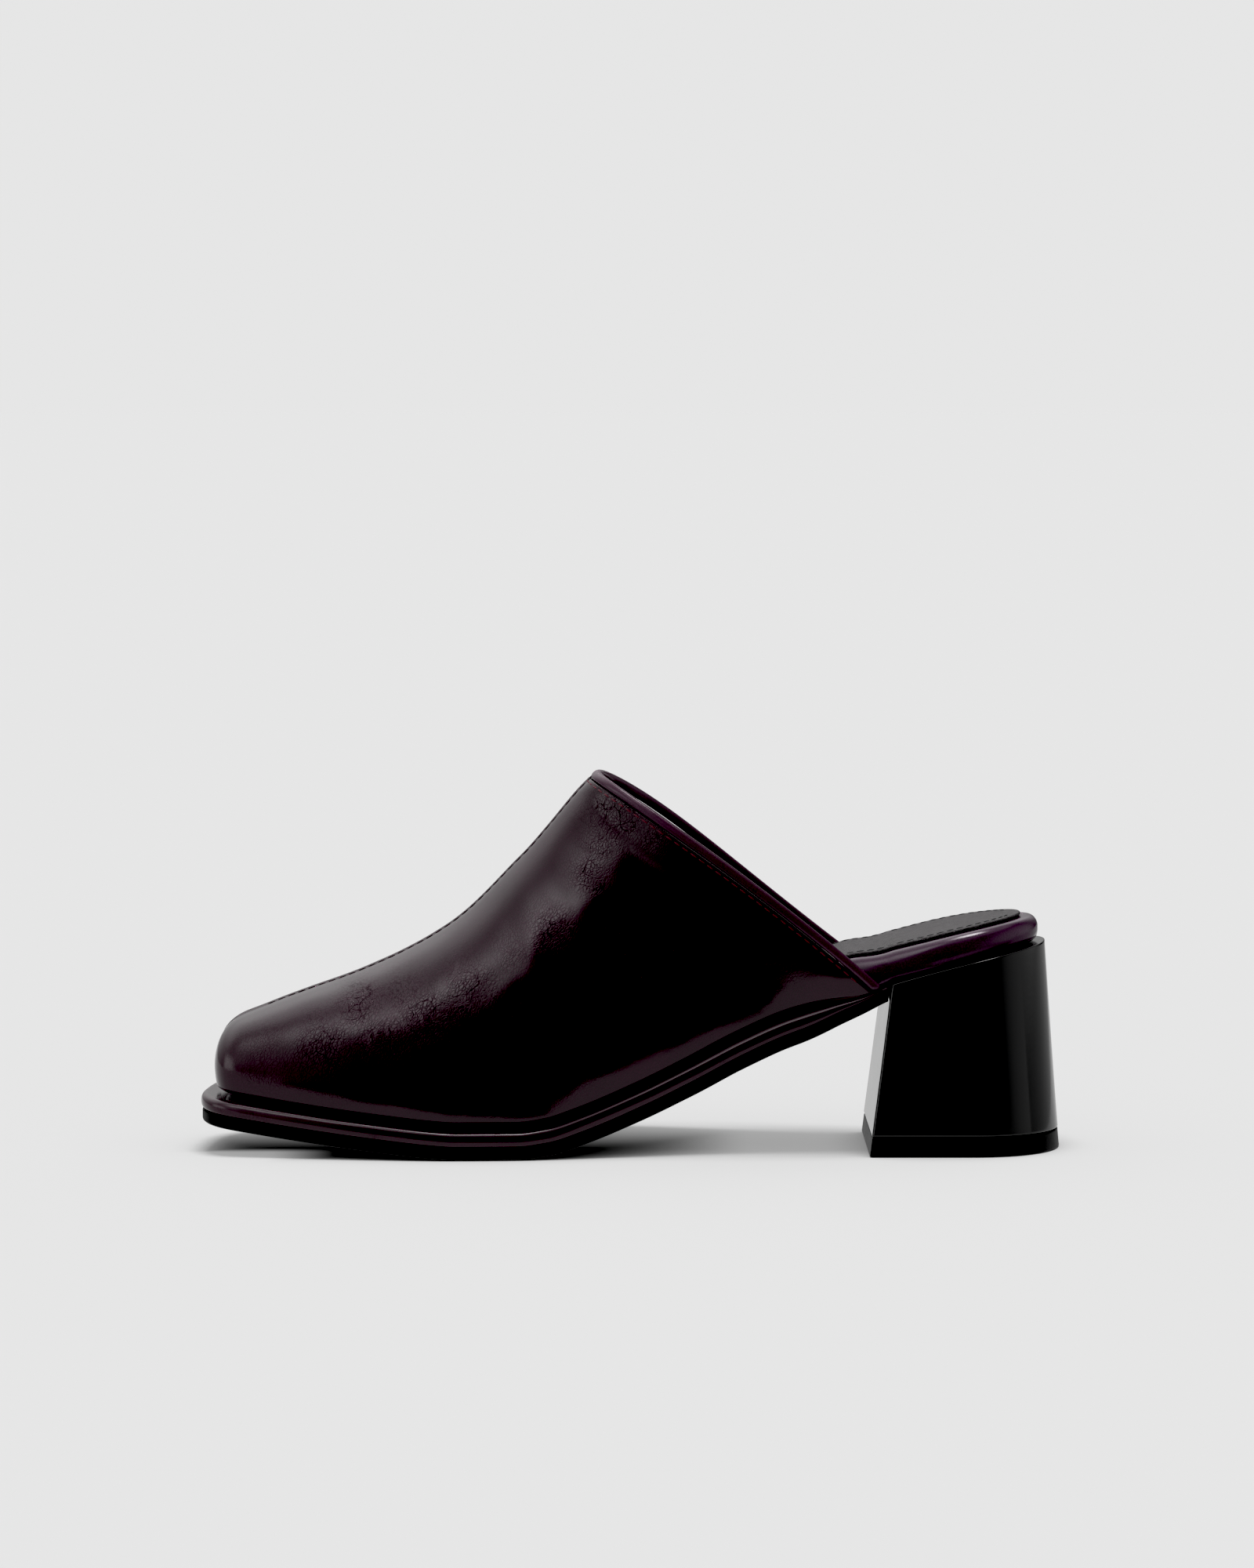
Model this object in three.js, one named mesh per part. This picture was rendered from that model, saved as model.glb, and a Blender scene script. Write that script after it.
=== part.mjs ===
// A square-toed, backless block-heel mule for the right foot, as a group of separate pieces.
// X runs from the toe back to the heel, Y from the inner side of the foot to the outer side, Z is up.
import * as THREE from 'three';

// Sizes of the whole shoe, in millimetres
const shoeLength = 253;
const ballInner = 38.6; // middle line to the edge of the rand at the ball, inner side
const ballOuter = 48.4; // the same on the outer side
const seatWidth = 56.4; // footbed rim under the heel of the foot
const toeSpring = 9.5; // rise of the toe above the tread
const toeCorner = 15; // length of the rounded part of the square toe
const toeSlant = 0.09; // how far the front edge falls back, per millimetre across
const toeTipSide = -8; // where across the toe its foremost point lies
const throatRise = 97; // crest of the upper above the feather line at the throat
const throatAt = 116.5; // toe tip to the throat
const upperEnd = 199.4; // toe tip to the lower ends of the upper
const fitGap = 0.3; // between pieces that are stuck together
const slip = 0.15; // further clearance where two curved edges pass each other

// Sizes of the single pieces
const outsoleThick = 3.1;
const outsoleInset = 0.4;
const soleRelief = 0.6; // sole's end short of the block's top edge
const randThick = 4.6;
const randThinEnd = 1.2;
const wall = 1.8; // leather and lining of the upper
const ledge = 3.9; // rand standing out in front of the upper
const ledgeSide = 3.12; // the same along the sides
const ledgeUnder = 1.9; // rand's edge inside the upper at the upper's lower ends
const tuckIn = 3; // how far the lower edge of the upper turns in
const tuckHeight = 2.6;
const seamRise = 0.4;
const seamHalf = 0.8;
const seamFoot = 0.6;
const bindingWidth = 3;
const bindingProud = 0.45;
const topBowInner = 2.3; // how far the topline arches above a straight line
const topBowOuter = 2.1;
const topSkewInner = 1; // 1 puts the top of the arch midway, more puts it nearer the throat
const topSkewOuter = 2.4;
const footbedThin = 3;
const rimThick = 8.9;
const rimSetback = 2; // rim in front of the heel's top edge
const rimBack = 33; // length of the round back of the seat
const sockThick = 1;
const sockMargin = 5.2;
const sockMarginToe = 1.2;
const rimRoundToe = 0.3; // rounding of the footbed's edge in the forefoot against that of its rim
const ribInset = 6; // from an end of a flat face to the last point of its middle rib
const heelHeight = 61.2; // top edge of the block at its back
const seatClimb = 11; // rise of the block's top from its breast to its back
const heelTopLength = 46.3;
const heelBottomLength = 57.4;
const heelBackLean = 4.7; // top edge in front of the bottom edge at the back
const heelTopWidth = 58;
const heelBottomWidth = 60.6;
const heelRound = 27; // length of the block's round back
const heelBulge = 0.9; // below 1 the block's lean and taper gather towards its top
const seatDome = 0.25; // how much the block's top is domed from front to back
const topLiftHeight = 5.5;

// The stations that follow from the sizes
const stack = outsoleThick + randThick + fitGap;
const breastTop = shoeLength - heelBackLean - heelTopLength;
const breastFoot = shoeLength - heelBottomLength;
const heelTopBack = shoeLength - heelBackLean;
const seatFront = heelHeight - seatClimb;
const rimEnd = heelTopBack - rimSetback;
const soleEnd = breastTop - fitGap - soleRelief;

// Stretches over which one form runs into the next, as shares of the shoe's length
const toeReach = 0.16;
const slantReach = 0.27;
const footbedRounds = { from: 0.5, to: 0.7 };
const sockNarrows = { from: 0.45, to: 0.7 };
const tuckFades = { from: 0.66, to: 0.77 };
const randThins = 0.69;
const seatLevels = { from: 0.7, to: 0.79 };

// Sole line of the forefoot: place as a share of the shoe's length, rise as a share of the toe spring
const springLine = [
  { at: 0, rise: 1 }, { at: 0.052, rise: 0.79 }, { at: 0.104, rise: 0.585 }, { at: 0.163, rise: 0.37 },
  { at: 0.223, rise: 0.175 }, { at: 0.268, rise: 0.05 }, { at: 0.298, rise: 0 }, { at: 1, rise: 0 },
];

// Sole line of the waist: rise as a share of the way from the tread up to the heel seat
const waistLine = [
  { at: 0, rise: 0 }, { at: 0.367, rise: 0 }, { at: 0.402, rise: 0.024 }, { at: 0.439, rise: 0.092 },
  { at: 0.502, rise: 0.243 }, { at: 0.562, rise: 0.413 }, { at: 0.622, rise: 0.6 },
  { at: 0.676, rise: 0.745 }, { at: 0.731, rise: 0.855 }, { at: 0.767, rise: 0.918 },
  { at: 0.799, rise: 1 },
];

// Outline of the rand: each side as a share of the way from the seat's half width to the ball's
const planLine = [
  { at: 0, inner: -0.11, outer: -0.07 }, { at: 0.06, inner: 0.18, outer: 0.145 },
  { at: 0.12, inner: 0.47, outer: 0.37 }, { at: 0.2, inner: 0.8, outer: 0.66 },
  { at: 0.286, inner: 1, outer: 0.9 }, { at: 0.357, inner: 0.93, outer: 1 },
  { at: 0.429, inner: 0.62, outer: 0.93 }, { at: 0.516, inner: 0.16, outer: 0.68 },
  { at: 0.595, inner: -0.12, outer: 0.43 }, { at: 0.675, inner: -0.19, outer: 0.2 },
  { at: 0.734, inner: -0.13, outer: 0.06 }, { at: 0.8, inner: -0.06, outer: -0.01 },
];

// Crest of the upper over the feather line: place as a share of the throat's, rise of the throat's
const crestLine = [
  { at: 0, rise: 0.182 }, { at: 0.133, rise: 0.263 }, { at: 0.241, rise: 0.332 },
  { at: 0.382, rise: 0.415 }, { at: 0.524, rise: 0.512 }, { at: 0.666, rise: 0.634 },
  { at: 0.809, rise: 0.804 }, { at: 0.95, rise: 0.962 }, { at: 1, rise: 1 },
];

// The fan of sections from the toe box to the topline. foot and crest are shares of the way from the
// toe box to the upper's lower end and to the throat; full is the squareness of the arch; the swells
// and the crest's place to the inner side are shares of the ball's inner half width.
const fan = [
  { row: 0, foot: 0, crest: 0, full: 3.1, swellIn: 0, swellOut: 0, toInner: 0.03 },
  { row: 0.14, foot: 0.14, crest: 0.235, full: 2.75, swellIn: 0.01, swellOut: 0, toInner: 0.06 },
  { row: 0.28, foot: 0.275, crest: 0.445, full: 2.4, swellIn: 0.02, swellOut: 0, toInner: 0.1 },
  { row: 0.42, foot: 0.41, crest: 0.625, full: 2.25, swellIn: 0.05, swellOut: 0.01, toInner: 0.12 },
  { row: 0.56, foot: 0.545, crest: 0.765, full: 2.25, swellIn: 0.12, swellOut: 0.02, toInner: 0.11 },
  { row: 0.7, foot: 0.68, crest: 0.865, full: 2.4, swellIn: 0.15, swellOut: 0.02, toInner: 0.09 },
  { row: 0.84, foot: 0.83, crest: 0.935, full: 2.7, swellIn: 0.1, swellOut: 0.01, toInner: 0.06 },
  { row: 1, foot: 1, crest: 1, full: 3.1, swellIn: 0.02, swellOut: 0, toInner: 0.03 },
];

// Footbed thickness over the sole line, as a share of the way from its thin forefoot to its rim
const footbedLine = [
  { at: 0, swell: 0 }, { at: 0.5, swell: 0 }, { at: 0.58, swell: 0.3 }, { at: 0.66, swell: 0.88 },
  { at: 0.71, swell: 1.3 }, { at: 0.75, swell: 1.42 }, { at: 0.798, swell: 1.04 }, { at: 0.88, swell: 0.95 },
  { at: 0.98, swell: 0.79 },
];

// Edges as seen in section: how far in from the outline, and how high up the piece's thickness
const beadEdge = [
  { inset: 2.4, up: 0 }, { inset: 0.8, up: 0.07 }, { inset: 0.05, up: 0.32 }, { inset: 0.05, up: 0.6 },
  { inset: 0.75, up: 0.9 }, { inset: 2.2, up: 1 },
];
const outsoleEdge = [{ inset: 0.5, up: 0 }, { inset: 0, up: 0.16 }, { inset: 0, up: 1 }];
const rimEdge = [
  { inset: 2.6, up: 0 }, { inset: 0.9, up: 0.06 }, { inset: 0.1, up: 0.22 }, { inset: 0, up: 0.5 },
  { inset: 0.6, up: 0.76 }, { inset: 1.9, up: 0.94 }, { inset: 3.4, up: 1 },
];
const sockEdge = [{ inset: 0.2, up: 0 }, { inset: 0, up: 0.45 }, { inset: 0.7, up: 1 }];

const toeBoxSquare = 3.4; // squareness of the toe box in profile
const toeTopBlend = 0.02; // spreads the change of squareness over the top of the toe box
const toePlanSquare = 3.1; // squareness of the toe seen from above
const backSquare = 2.1; // squareness of the round back of the seat and the block
const bellyLow = 1.5; // above 1 the sides' swell gathers at mid height
const archFull = 0.75; // below 1 the topline's arch rises fast at its ends

const mix = (a, b, share) => a + (b - a) * share;
const clamp = (value, low, high) => Math.min(high, Math.max(low, value));
const smooth = (value, low, high) => {
  const share = clamp((value - low) / (high - low), 0, 1);
  return share * share * (3 - 2 * share);
};
const over = (x, stretch) => smooth(x, stretch.from * shoeLength, stretch.to * shoeLength);

// A smooth curve through the rows of a table that never overshoots them
function curve(rows, from, to) {
  const last = rows.length - 1;
  const slope = [];
  for (let i = 0; i < last; i += 1) {
    slope.push((rows[i + 1][to] - rows[i][to]) / (rows[i + 1][from] - rows[i][from]));
  }
  const tangent = rows.map((row, i) => {
    if (i === 0) return slope[0];
    if (i === last) return slope[last - 1];
    const product = slope[i - 1] * slope[i];
    return product <= 0 ? 0 : (2 * product) / (slope[i - 1] + slope[i]);
  });
  return (place) => {
    if (place <= rows[0][from]) return rows[0][to] + tangent[0] * (place - rows[0][from]);
    if (place >= rows[last][from]) return rows[last][to] + tangent[last] * (place - rows[last][from]);
    let i = 0;
    while (place > rows[i + 1][from]) i += 1;
    const span = rows[i + 1][from] - rows[i][from];
    const t = (place - rows[i][from]) / span;
    const s = 1 - t;
    return rows[i][to] * s * s * (1 + 2 * t) + rows[i + 1][to] * t * t * (1 + 2 * s)
      + span * (tangent[i] * t * s * s - tangent[i + 1] * t * t * s);
  };
}

const spring = curve(springLine, 'at', 'rise');
const waist = curve(waistLine, 'at', 'rise');
const swellInner = curve(planLine, 'at', 'inner');
const swellOuter = curve(planLine, 'at', 'outer');
const crestRise = curve(crestLine, 'at', 'rise');
const footbedSwell = curve(footbedLine, 'at', 'swell');
const fanOf = (column) => curve(fan, 'row', column);
const fanFoot = fanOf('foot');
const fanCrest = fanOf('crest');
const fanFull = fanOf('full');
const fanSwellIn = fanOf('swellIn');
const fanSwellOut = fanOf('swellOut');
const fanToInner = fanOf('toInner');

// Height of the block's top, a little domed from front to back
function seatLine(x) {
  const share = (x - breastTop) / heelTopLength;
  return seatFront + seatClimb * share * (1 + seatDome * (1 - share));
}

// Height of the feather line, where the rand's top meets the upper and the footbed
function featherLine(x) {
  if (x >= breastTop) return seatLine(x);
  const at = x / shoeLength;
  return stack + toeSpring * spring(at) + (seatFront - stack) * waist(at);
}

// Vertical thickness that a layer needs to keep its true thickness on the slope
function slopeFactor(x) {
  const step = 2;
  const rise = (featherLine(x + step) - featherLine(x - step)) / (2 * step);
  return mix(Math.hypot(1, rise), 1, over(x, seatLevels));
}

function randBottom(x) {
  const thin = smooth(x, randThins * shoeLength, soleEnd);
  return featherLine(x) - mix(randThick, randThinEnd, thin) * slopeFactor(x);
}

const outsoleTop = (x) => randBottom(x) - fitGap;
const outsoleBottom = (x) => Math.max(0, outsoleTop(x) - outsoleThick * slopeFactor(x));
const footbedBottom = (x) => featherLine(x) + fitGap;
const footbedTop = (x) => footbedBottom(x) + mix(footbedThin, rimThick, footbedSwell(x / shoeLength));
const crestHeight = (x) => featherLine(x) + throatRise * crestRise(x / throatAt);

// Half width of the rand at a place along the shoe
function randHalf(side, x) {
  const at = x / shoeLength;
  if (side < 0) return mix(seatWidth / 2, ballInner, swellInner(at));
  return mix(seatWidth / 2, ballOuter, swellOuter(at));
}

// The rand stands out past the upper, and runs out under it just before the heel
function ledgeAt(x) {
  const shown = mix(ledge, ledgeSide, smooth(x, 0, toeReach * shoeLength));
  return mix(shown, -ledgeUnder, smooth(x, tuckFades.from * shoeLength, upperEnd));
}

const tuckAt = (x) => tuckIn * (1 - over(x, tuckFades));
const upperHalf = (side, x) => randHalf(side, x) - ledgeAt(x);

// The square toe is cut on a slant: its outer side lies further back than its inner side
function slanted(x, y, z) {
  const fade = 1 - smooth(x, 0, slantReach * shoeLength);
  return new THREE.Vector3(x + toeSlant * (y - toeTipSide) * fade, y, z);
}

// Builds one closed body out of triangles; corners that fall on the same spot are shared
class Body {
  constructor() {
    this.corners = [];
    this.faces = [];
    this.index = new Map();
  }

  corner(point) {
    const key = [point.x, point.y, point.z].map((value) => Math.round(value * 5000)).join(' ');
    if (!this.index.has(key)) {
      this.index.set(key, this.corners.length);
      this.corners.push(point);
    }
    return this.index.get(key);
  }

  triangle(a, b, c) {
    const [i, j, k] = [a, b, c].map((point) => this.corner(point));
    if (i !== j && j !== k && k !== i) this.faces.push([i, j, k]);
  }

  quad(a, b, c, d) {
    this.triangle(a, b, c);
    this.triangle(a, c, d);
  }

  // Side faces between rings of equal length, each ring closed on itself
  rings(list) {
    for (let r = 0; r + 1 < list.length; r += 1) {
      list[r].forEach((point, i) => {
        const next = (i + 1) % list[r].length;
        this.quad(point, list[r][next], list[r + 1][next], list[r + 1][i]);
      });
    }
  }

  // A lid over a ring, with a rib of points along the middle
  lid(ring, rib, upward) {
    ring.forEach((point, i) => {
      const next = (i + 1) % ring.length;
      const quad = [point, ring[next], rib[next], rib[i]];
      this.quad(...(upward ? quad : quad.reverse()));
    });
  }

  mesh(name, material) {
    const volume = this.faces.reduce((sum, [i, j, k]) => {
      const [a, b, c] = [this.corners[i], this.corners[j], this.corners[k]];
      return sum + a.dot(new THREE.Vector3().crossVectors(b, c));
    }, 0);
    const geometry = new THREE.BufferGeometry();
    geometry.setAttribute('position', new THREE.Float32BufferAttribute(
      this.corners.flatMap((point) => [point.x, point.y, point.z]), 3));
    geometry.setIndex(this.faces.flatMap(([i, j, k]) => (volume > 0 ? [i, j, k] : [i, k, j])));
    geometry.computeVertexNormals();
    const made = new THREE.Mesh(geometry, material);
    made.name = name;
    return made;
  }
}

// Seen from above: the rounded square toe, from its middle round to the side
function toeOutline(angle) {
  const ahead = Math.cos(angle);
  const aside = Math.sin(angle);
  const reach = (ahead ** toePlanSquare + aside ** toePlanSquare) ** (-1 / toePlanSquare);
  return { ahead: ahead * reach, aside: aside * reach };
}

// A spot on a round back, from the middle at angle 0 to the side at a right angle
function roundBack(start, end, half, angle) {
  const ahead = Math.cos(angle);
  const aside = Math.sin(angle);
  const reach = (ahead ** backSquare + aside ** backSquare) ** (-1 / backSquare);
  return { x: start + (end - start) * ahead * reach, y: half * aside * reach };
}

// Places along one side of a flat piece: first round the toe, then back along the side
function sideStations(end) {
  const toeSteps = 9;
  const sideSteps = 24;
  const seatSteps = 3;
  const turn = Math.min(end, breastTop);
  const places = [];
  for (let i = 0; i < toeSteps; i += 1) places.push({ angle: (Math.PI / 2) * (i / toeSteps) });
  for (let i = 0; i < sideSteps; i += 1) places.push({ x: mix(toeCorner, turn, i / sideSteps) });
  for (let i = 0; i < seatSteps && end > turn; i += 1) places.push({ x: mix(turn, end, i / seatSteps) });
  return [...places, { x: end }];
}

// One point of a flat piece's outline; margin is how far it lies inside the rand's own outline
function outlinePoint(side, place, margin, marginToe) {
  if (place.angle === undefined) {
    return { x: place.x, y: side * (randHalf(side, place.x) - margin(place.x, side)) };
  }
  const { ahead, aside } = toeOutline(place.angle);
  const x = toeCorner - (toeCorner - marginToe) * ahead;
  return { x, y: side * (randHalf(side, x) - margin(x, side)) * aside };
}

// The whole outline, from the inner rear corner round the toe to the outer rear corner
function openOutline(end, margin, marginToe) {
  const places = sideStations(end);
  const inner = places.map((place) => outlinePoint(-1, place, margin, marginToe)).reverse();
  const outer = places.map((place) => outlinePoint(1, place, margin, marginToe)).slice(1);
  return [...inner, ...outer];
}

// The same outline with a round back, for the pieces that carry the heel of the foot
function seatOutline(start, end, margin, marginToe, half) {
  const steps = 9;
  const back = [];
  for (let i = 1; i < 2 * steps; i += 1) {
    const turn = Math.PI / 2 - (Math.PI / 2) * (i / steps);
    const spot = roundBack(start, end, half, Math.abs(turn));
    back.push({ x: spot.x, y: Math.sign(turn) * spot.y });
  }
  return [...openOutline(start, margin, marginToe), ...back];
}

// A flat piece: rings that follow its edge in section, closed by a lid below and above
function flatPiece(name, material, outline, edge, bottom, top) {
  const body = new Body();
  const rings = edge.map(({ inset, up }) => outline(inset).map(
    ({ x, y }) => slanted(x, y, mix(bottom(x), top(x), up))));
  const rib = (inset, height) => {
    const points = outline(inset);
    const places = points.map(({ x }) => x);
    const first = Math.min(...places) + toeCorner;
    const last = Math.max(...places) - ribInset;
    return points.map(({ x }) => clamp(x, first, last)).map((x) => slanted(x, 0, height(x)));
  };
  body.rings(rings);
  body.lid(rings[0], rib(edge[0].inset, bottom), false);
  body.lid(rings[rings.length - 1], rib(edge[edge.length - 1].inset, top), true);
  return body.mesh(name, material);
}

// A point on the upper. row is -1 at the front feather edge, 0 behind the toe box and 1 at the topline.
// angle runs from 0 above the feather edge to a right angle at the crest. depth goes in from the
// outside. down runs from 0 to 1 through the turned-in edge below angle 0 or below row -1.
function upperPoint(row, side, angle, depth, down = 0) {
  const fanRow = Math.max(row, 0);
  const foot = mix(toeCorner, upperEnd, fanFoot(fanRow));
  const crestAt = mix(toeCorner, throatAt, fanCrest(fanRow));
  const toeTurn = row < 0 ? (Math.PI / 2) * (1 + row) : Math.PI / 2;
  const ahead = Math.sin(angle) * Math.cos(toeTurn);
  const upward = Math.sin(angle) * Math.sin(toeTurn);
  const aside = Math.cos(angle);
  const square = (ahead * ahead) / (ahead * ahead + aside * aside + toeTopBlend);
  const full = row < 0 ? mix(fanFull(0), toeBoxSquare, square) : fanFull(row);
  const plan = (ahead ** toePlanSquare + aside ** toePlanSquare) ** (1 / toePlanSquare);
  const reach = (plan ** full + upward ** full) ** (-1 / full);
  const high = upward * reach;
  const toeLength = toeCorner - ledge - depth;
  const x0 = row < 0 ? toeCorner - toeLength * ahead * reach : foot;
  const x1 = row < 0 ? x0 : crestAt;
  const base = featherLine(x0) + fitGap;
  const crest = crestHeight(x1);
  const rise = Math.hypot(x1 - x0, crest - base);
  const turned = tuckAt(x0) / tuckIn;
  const lift = clamp(depth, 0, wall) * turned;
  const low = mix(tuckHeight, lift, down) / rise;
  const climb = low + ((rise - depth) / rise - low) * high;
  const half = upperHalf(side, x0) - depth;
  const noseOn = (ahead * reach) ** (toePlanSquare - 1) / toeLength;
  const sideOn = (aside * reach) ** (toePlanSquare - 1) / half;
  const turnIn = (tuckIn * turned - lift) * (1 - Math.sqrt(1 - down * down)) / Math.hypot(noseOn, sideOn);
  const crestSide = -fanToInner(fanRow) * ballInner * (1 - aside * reach);
  const swell = (side < 0 ? fanSwellIn(fanRow) : fanSwellOut(fanRow)) * smooth(row, 0, fan[2].row);
  const belly = swell * ballInner * Math.sin(Math.PI * Math.min(1, high)) ** bellyLow;
  const y = crestSide + side * (half * aside * reach + belly - turnIn * sideOn);
  const arch = side < 0 ? topBowInner : topBowOuter;
  const skew = side < 0 ? topSkewInner : topSkewOuter;
  const bow = arch * fanRow ** 2 * Math.sin(Math.PI * clamp(climb, 0, 1) ** skew) ** archFull;
  const x = mix(x0, x1, climb) + turnIn * noseOn + (bow * (crest - base)) / rise;
  const z = mix(base, crest, climb) + (bow * (x0 - x1)) / rise;
  return slanted(x, y, z);
}

// The row at a set distance before the topline, measured over the surface
function rowBefore(side, angle, distance) {
  const step = 0.01;
  const edge = upperPoint(1, side, angle, 0);
  const span = edge.distanceTo(upperPoint(1 - step, side, angle, 0));
  return 1 - (distance * step) / span;
}

// Angles from the feather edge up to the crest, with the step of the raised seam at the end
function crossAngles(row) {
  const foot = mix(toeCorner, upperEnd, fanFoot(Math.max(row, 0)));
  const half = upperHalf(1, foot);
  const steps = 13;
  const seamEdge = Math.PI / 2 - (seamHalf + seamFoot) / half;
  const angles = [];
  for (let i = 0; i <= steps; i += 1) angles.push({ angle: seamEdge * (i / steps), raise: 0 });
  return [...angles, { angle: Math.PI / 2 - seamHalf / half, raise: seamRise }];
}

// One row across the upper, from the inner feather edge over the crest to the outer one
function upperRow(row, depth, down = 0) {
  const place = (side, { angle, raise }) => {
    const last = rowBefore(side, angle, bindingWidth + fitGap);
    return upperPoint(row > 0 ? row * last : row, side, angle, depth > 0 ? depth : -raise, down);
  };
  const angles = crossAngles(row);
  const crest = place(1, { angle: Math.PI / 2, raise: seamRise });
  const inner = angles.map((spot) => place(-1, spot));
  const outer = angles.map((spot) => place(1, spot)).reverse();
  return [...inner, crest, ...outer];
}

// The turned-in edge below one end of a row, from the top of the turn to the feather edge
const turnSteps = [0, 0.5, 0.85, 1];
function turnedEdge(row, side, depth) {
  const shown = row * rowBefore(side, 0, bindingWidth + fitGap);
  return turnSteps.map((down) => upperPoint(shown, side, 0, depth, down));
}

// The upper: a leather wall with an outer and an inner skin, joined along its edges
function makeUpper(material) {
  const bodySteps = 19;
  const toeRows = [-1, -0.88, -0.77, -0.66, -0.56, -0.45, -0.33, -0.18];
  const bodyRows = [];
  for (let i = 0; i <= bodySteps; i += 1) bodyRows.push(i / bodySteps);
  const body = new Body();
  const skin = (depth, outward) => {
    const patch = (lines) => {
      for (let r = 0; r + 1 < lines.length; r += 1) {
        for (let i = 0; i + 1 < lines[r].length; i += 1) {
          const quad = [lines[r][i], lines[r][i + 1], lines[r + 1][i + 1], lines[r + 1][i]];
          body.quad(...(outward ? quad : quad.reverse()));
        }
      }
    };
    const inner = bodyRows.map((row) => turnedEdge(row, -1, depth).reverse());
    const outer = bodyRows.map((row) => turnedEdge(row, 1, depth));
    const middle = bodyRows.map((row) => upperRow(row, depth));
    const whole = middle.map((row, i) => [...inner[i].slice(0, -1), ...row, ...outer[i].slice(1)]);
    const front = turnSteps.map((down) => upperRow(-1, depth, down)).reverse();
    patch(whole);
    patch([...front.slice(0, -1), ...toeRows.map((row) => upperRow(row, depth)), middle[0]]);
    const rim = [
      ...whole.map((row) => row[0]).reverse(), ...front[0], ...whole.map((row) => row[row.length - 1]),
    ];
    return [...rim, ...whole[whole.length - 1].slice().reverse()];
  };
  const outside = skin(0, true);
  const inside = skin(wall, false);
  outside.forEach((point, i) => {
    const next = (i + 1) % outside.length;
    body.quad(point, inside[i], inside[next], outside[next]);
  });
  return body.mesh('upper', material);
}

// The rolled binding along the topline: a rounded section swept from one lower end to the other
function makeBinding(material) {
  const steps = 22;
  const sectionSides = 8;
  const oneSide = (side) => {
    const places = [{ side, angle: 0, down: 1 }];
    for (let i = 0; i < steps; i += 1) places.push({ side, angle: (Math.PI / 2) * (i / steps), down: 0 });
    return places;
  };
  const places = [...oneSide(-1), { side: 1, angle: Math.PI / 2, down: 0 }, ...oneSide(1).reverse()];
  const thick = wall / 2 + bindingProud;
  const rings = places.map(({ side, angle, down }) => {
    const ring = [];
    for (let k = 0; k < sectionSides; k += 1) {
      const turn = (2 * Math.PI * (k + 0.5)) / sectionSides;
      const square = (Math.abs(Math.cos(turn)) ** 3 + Math.abs(Math.sin(turn)) ** 3) ** (-1 / 3);
      const distance = (bindingWidth / 2) * (1 + Math.cos(turn) * square);
      const depth = wall / 2 + thick * Math.sin(turn) * square;
      ring.push(upperPoint(rowBefore(side, angle, distance), side, angle, depth, down));
    }
    return ring;
  });
  const body = new Body();
  body.rings(rings);
  for (const ring of [rings[0].slice().reverse(), rings[rings.length - 1]]) {
    for (let k = 1; k + 1 < sectionSides; k += 1) body.triangle(ring[0], ring[k], ring[k + 1]);
  }
  return body.mesh('topline_binding', material);
}

// A level of the heel block: a straight breast in front, straight sides and a round back
function heelLevel(height, trim) {
  const share = height(heelTopBack) / heelHeight;
  const back = shoeLength - heelBackLean * share ** heelBulge - trim;
  const front = mix(breastFoot, breastTop, height(breastTop) / seatFront) + trim;
  const half = mix(heelBottomWidth, heelTopWidth, share ** heelBulge) / 2 - trim;
  const start = back - heelRound;
  const steps = 11;
  const side = (sign) => {
    const points = [0, 1, 2].map((third) => ({ x: mix(front, start, third / 3), y: sign * half }));
    for (let i = 0; i < steps; i += 1) {
      const spot = roundBack(start, back, half, (Math.PI / 2) * (1 - i / steps));
      points.push({ x: spot.x, y: sign * spot.y });
    }
    return points;
  };
  const points = [...side(-1), { x: back, y: 0 }, ...side(1).reverse()];
  const ring = points.map(({ x, y }) => new THREE.Vector3(x, y, height(x)));
  const rib = points.map(({ x }) => {
    const middle = clamp(x, front + ribInset, start);
    return new THREE.Vector3(middle, 0, height(middle));
  });
  return { ring, rib };
}

// A part of the heel between two surfaces, each given as its height along the shoe
function heelPart(name, material, low, high, steps, trim) {
  const body = new Body();
  const levels = [];
  for (let i = 0; i <= steps; i += 1) levels.push(heelLevel((x) => mix(low(x), high(x), i / steps), trim));
  body.rings(levels.map(({ ring }) => ring));
  body.lid(levels[0].ring, levels[0].rib, false);
  body.lid(levels[steps].ring, levels[steps].rib, true);
  return body.mesh(name, material);
}

const finish = (color, roughness) => new THREE.MeshStandardMaterial({ color, roughness, metalness: 0 });
const oxblood = finish(0x33101f, 0.25);
const oxbloodEdge = finish(0x42182a, 0.3);
const blackLeather = finish(0x1a171b, 0.55);
const blackRubber = finish(0x0d0d0e, 0.6);
const blackLacquer = finish(0x0a0a0b, 0.15);

const outsole = flatPiece('outsole', blackRubber,
  (inset) => openOutline(soleEnd, () => outsoleInset + inset, outsoleInset + inset),
  outsoleEdge, outsoleBottom, outsoleTop);

const rand = flatPiece('rand', oxblood,
  (inset) => openOutline(soleEnd, () => inset, inset), beadEdge, randBottom, featherLine);

// The footbed keeps clear of the upper's turned-in edge, and of its wall further back
const seatStart = rimEnd - rimBack;
const clearOfUpper = (x) => ledgeAt(x) + Math.max(tuckAt(x), wall) + fitGap + slip;

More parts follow.
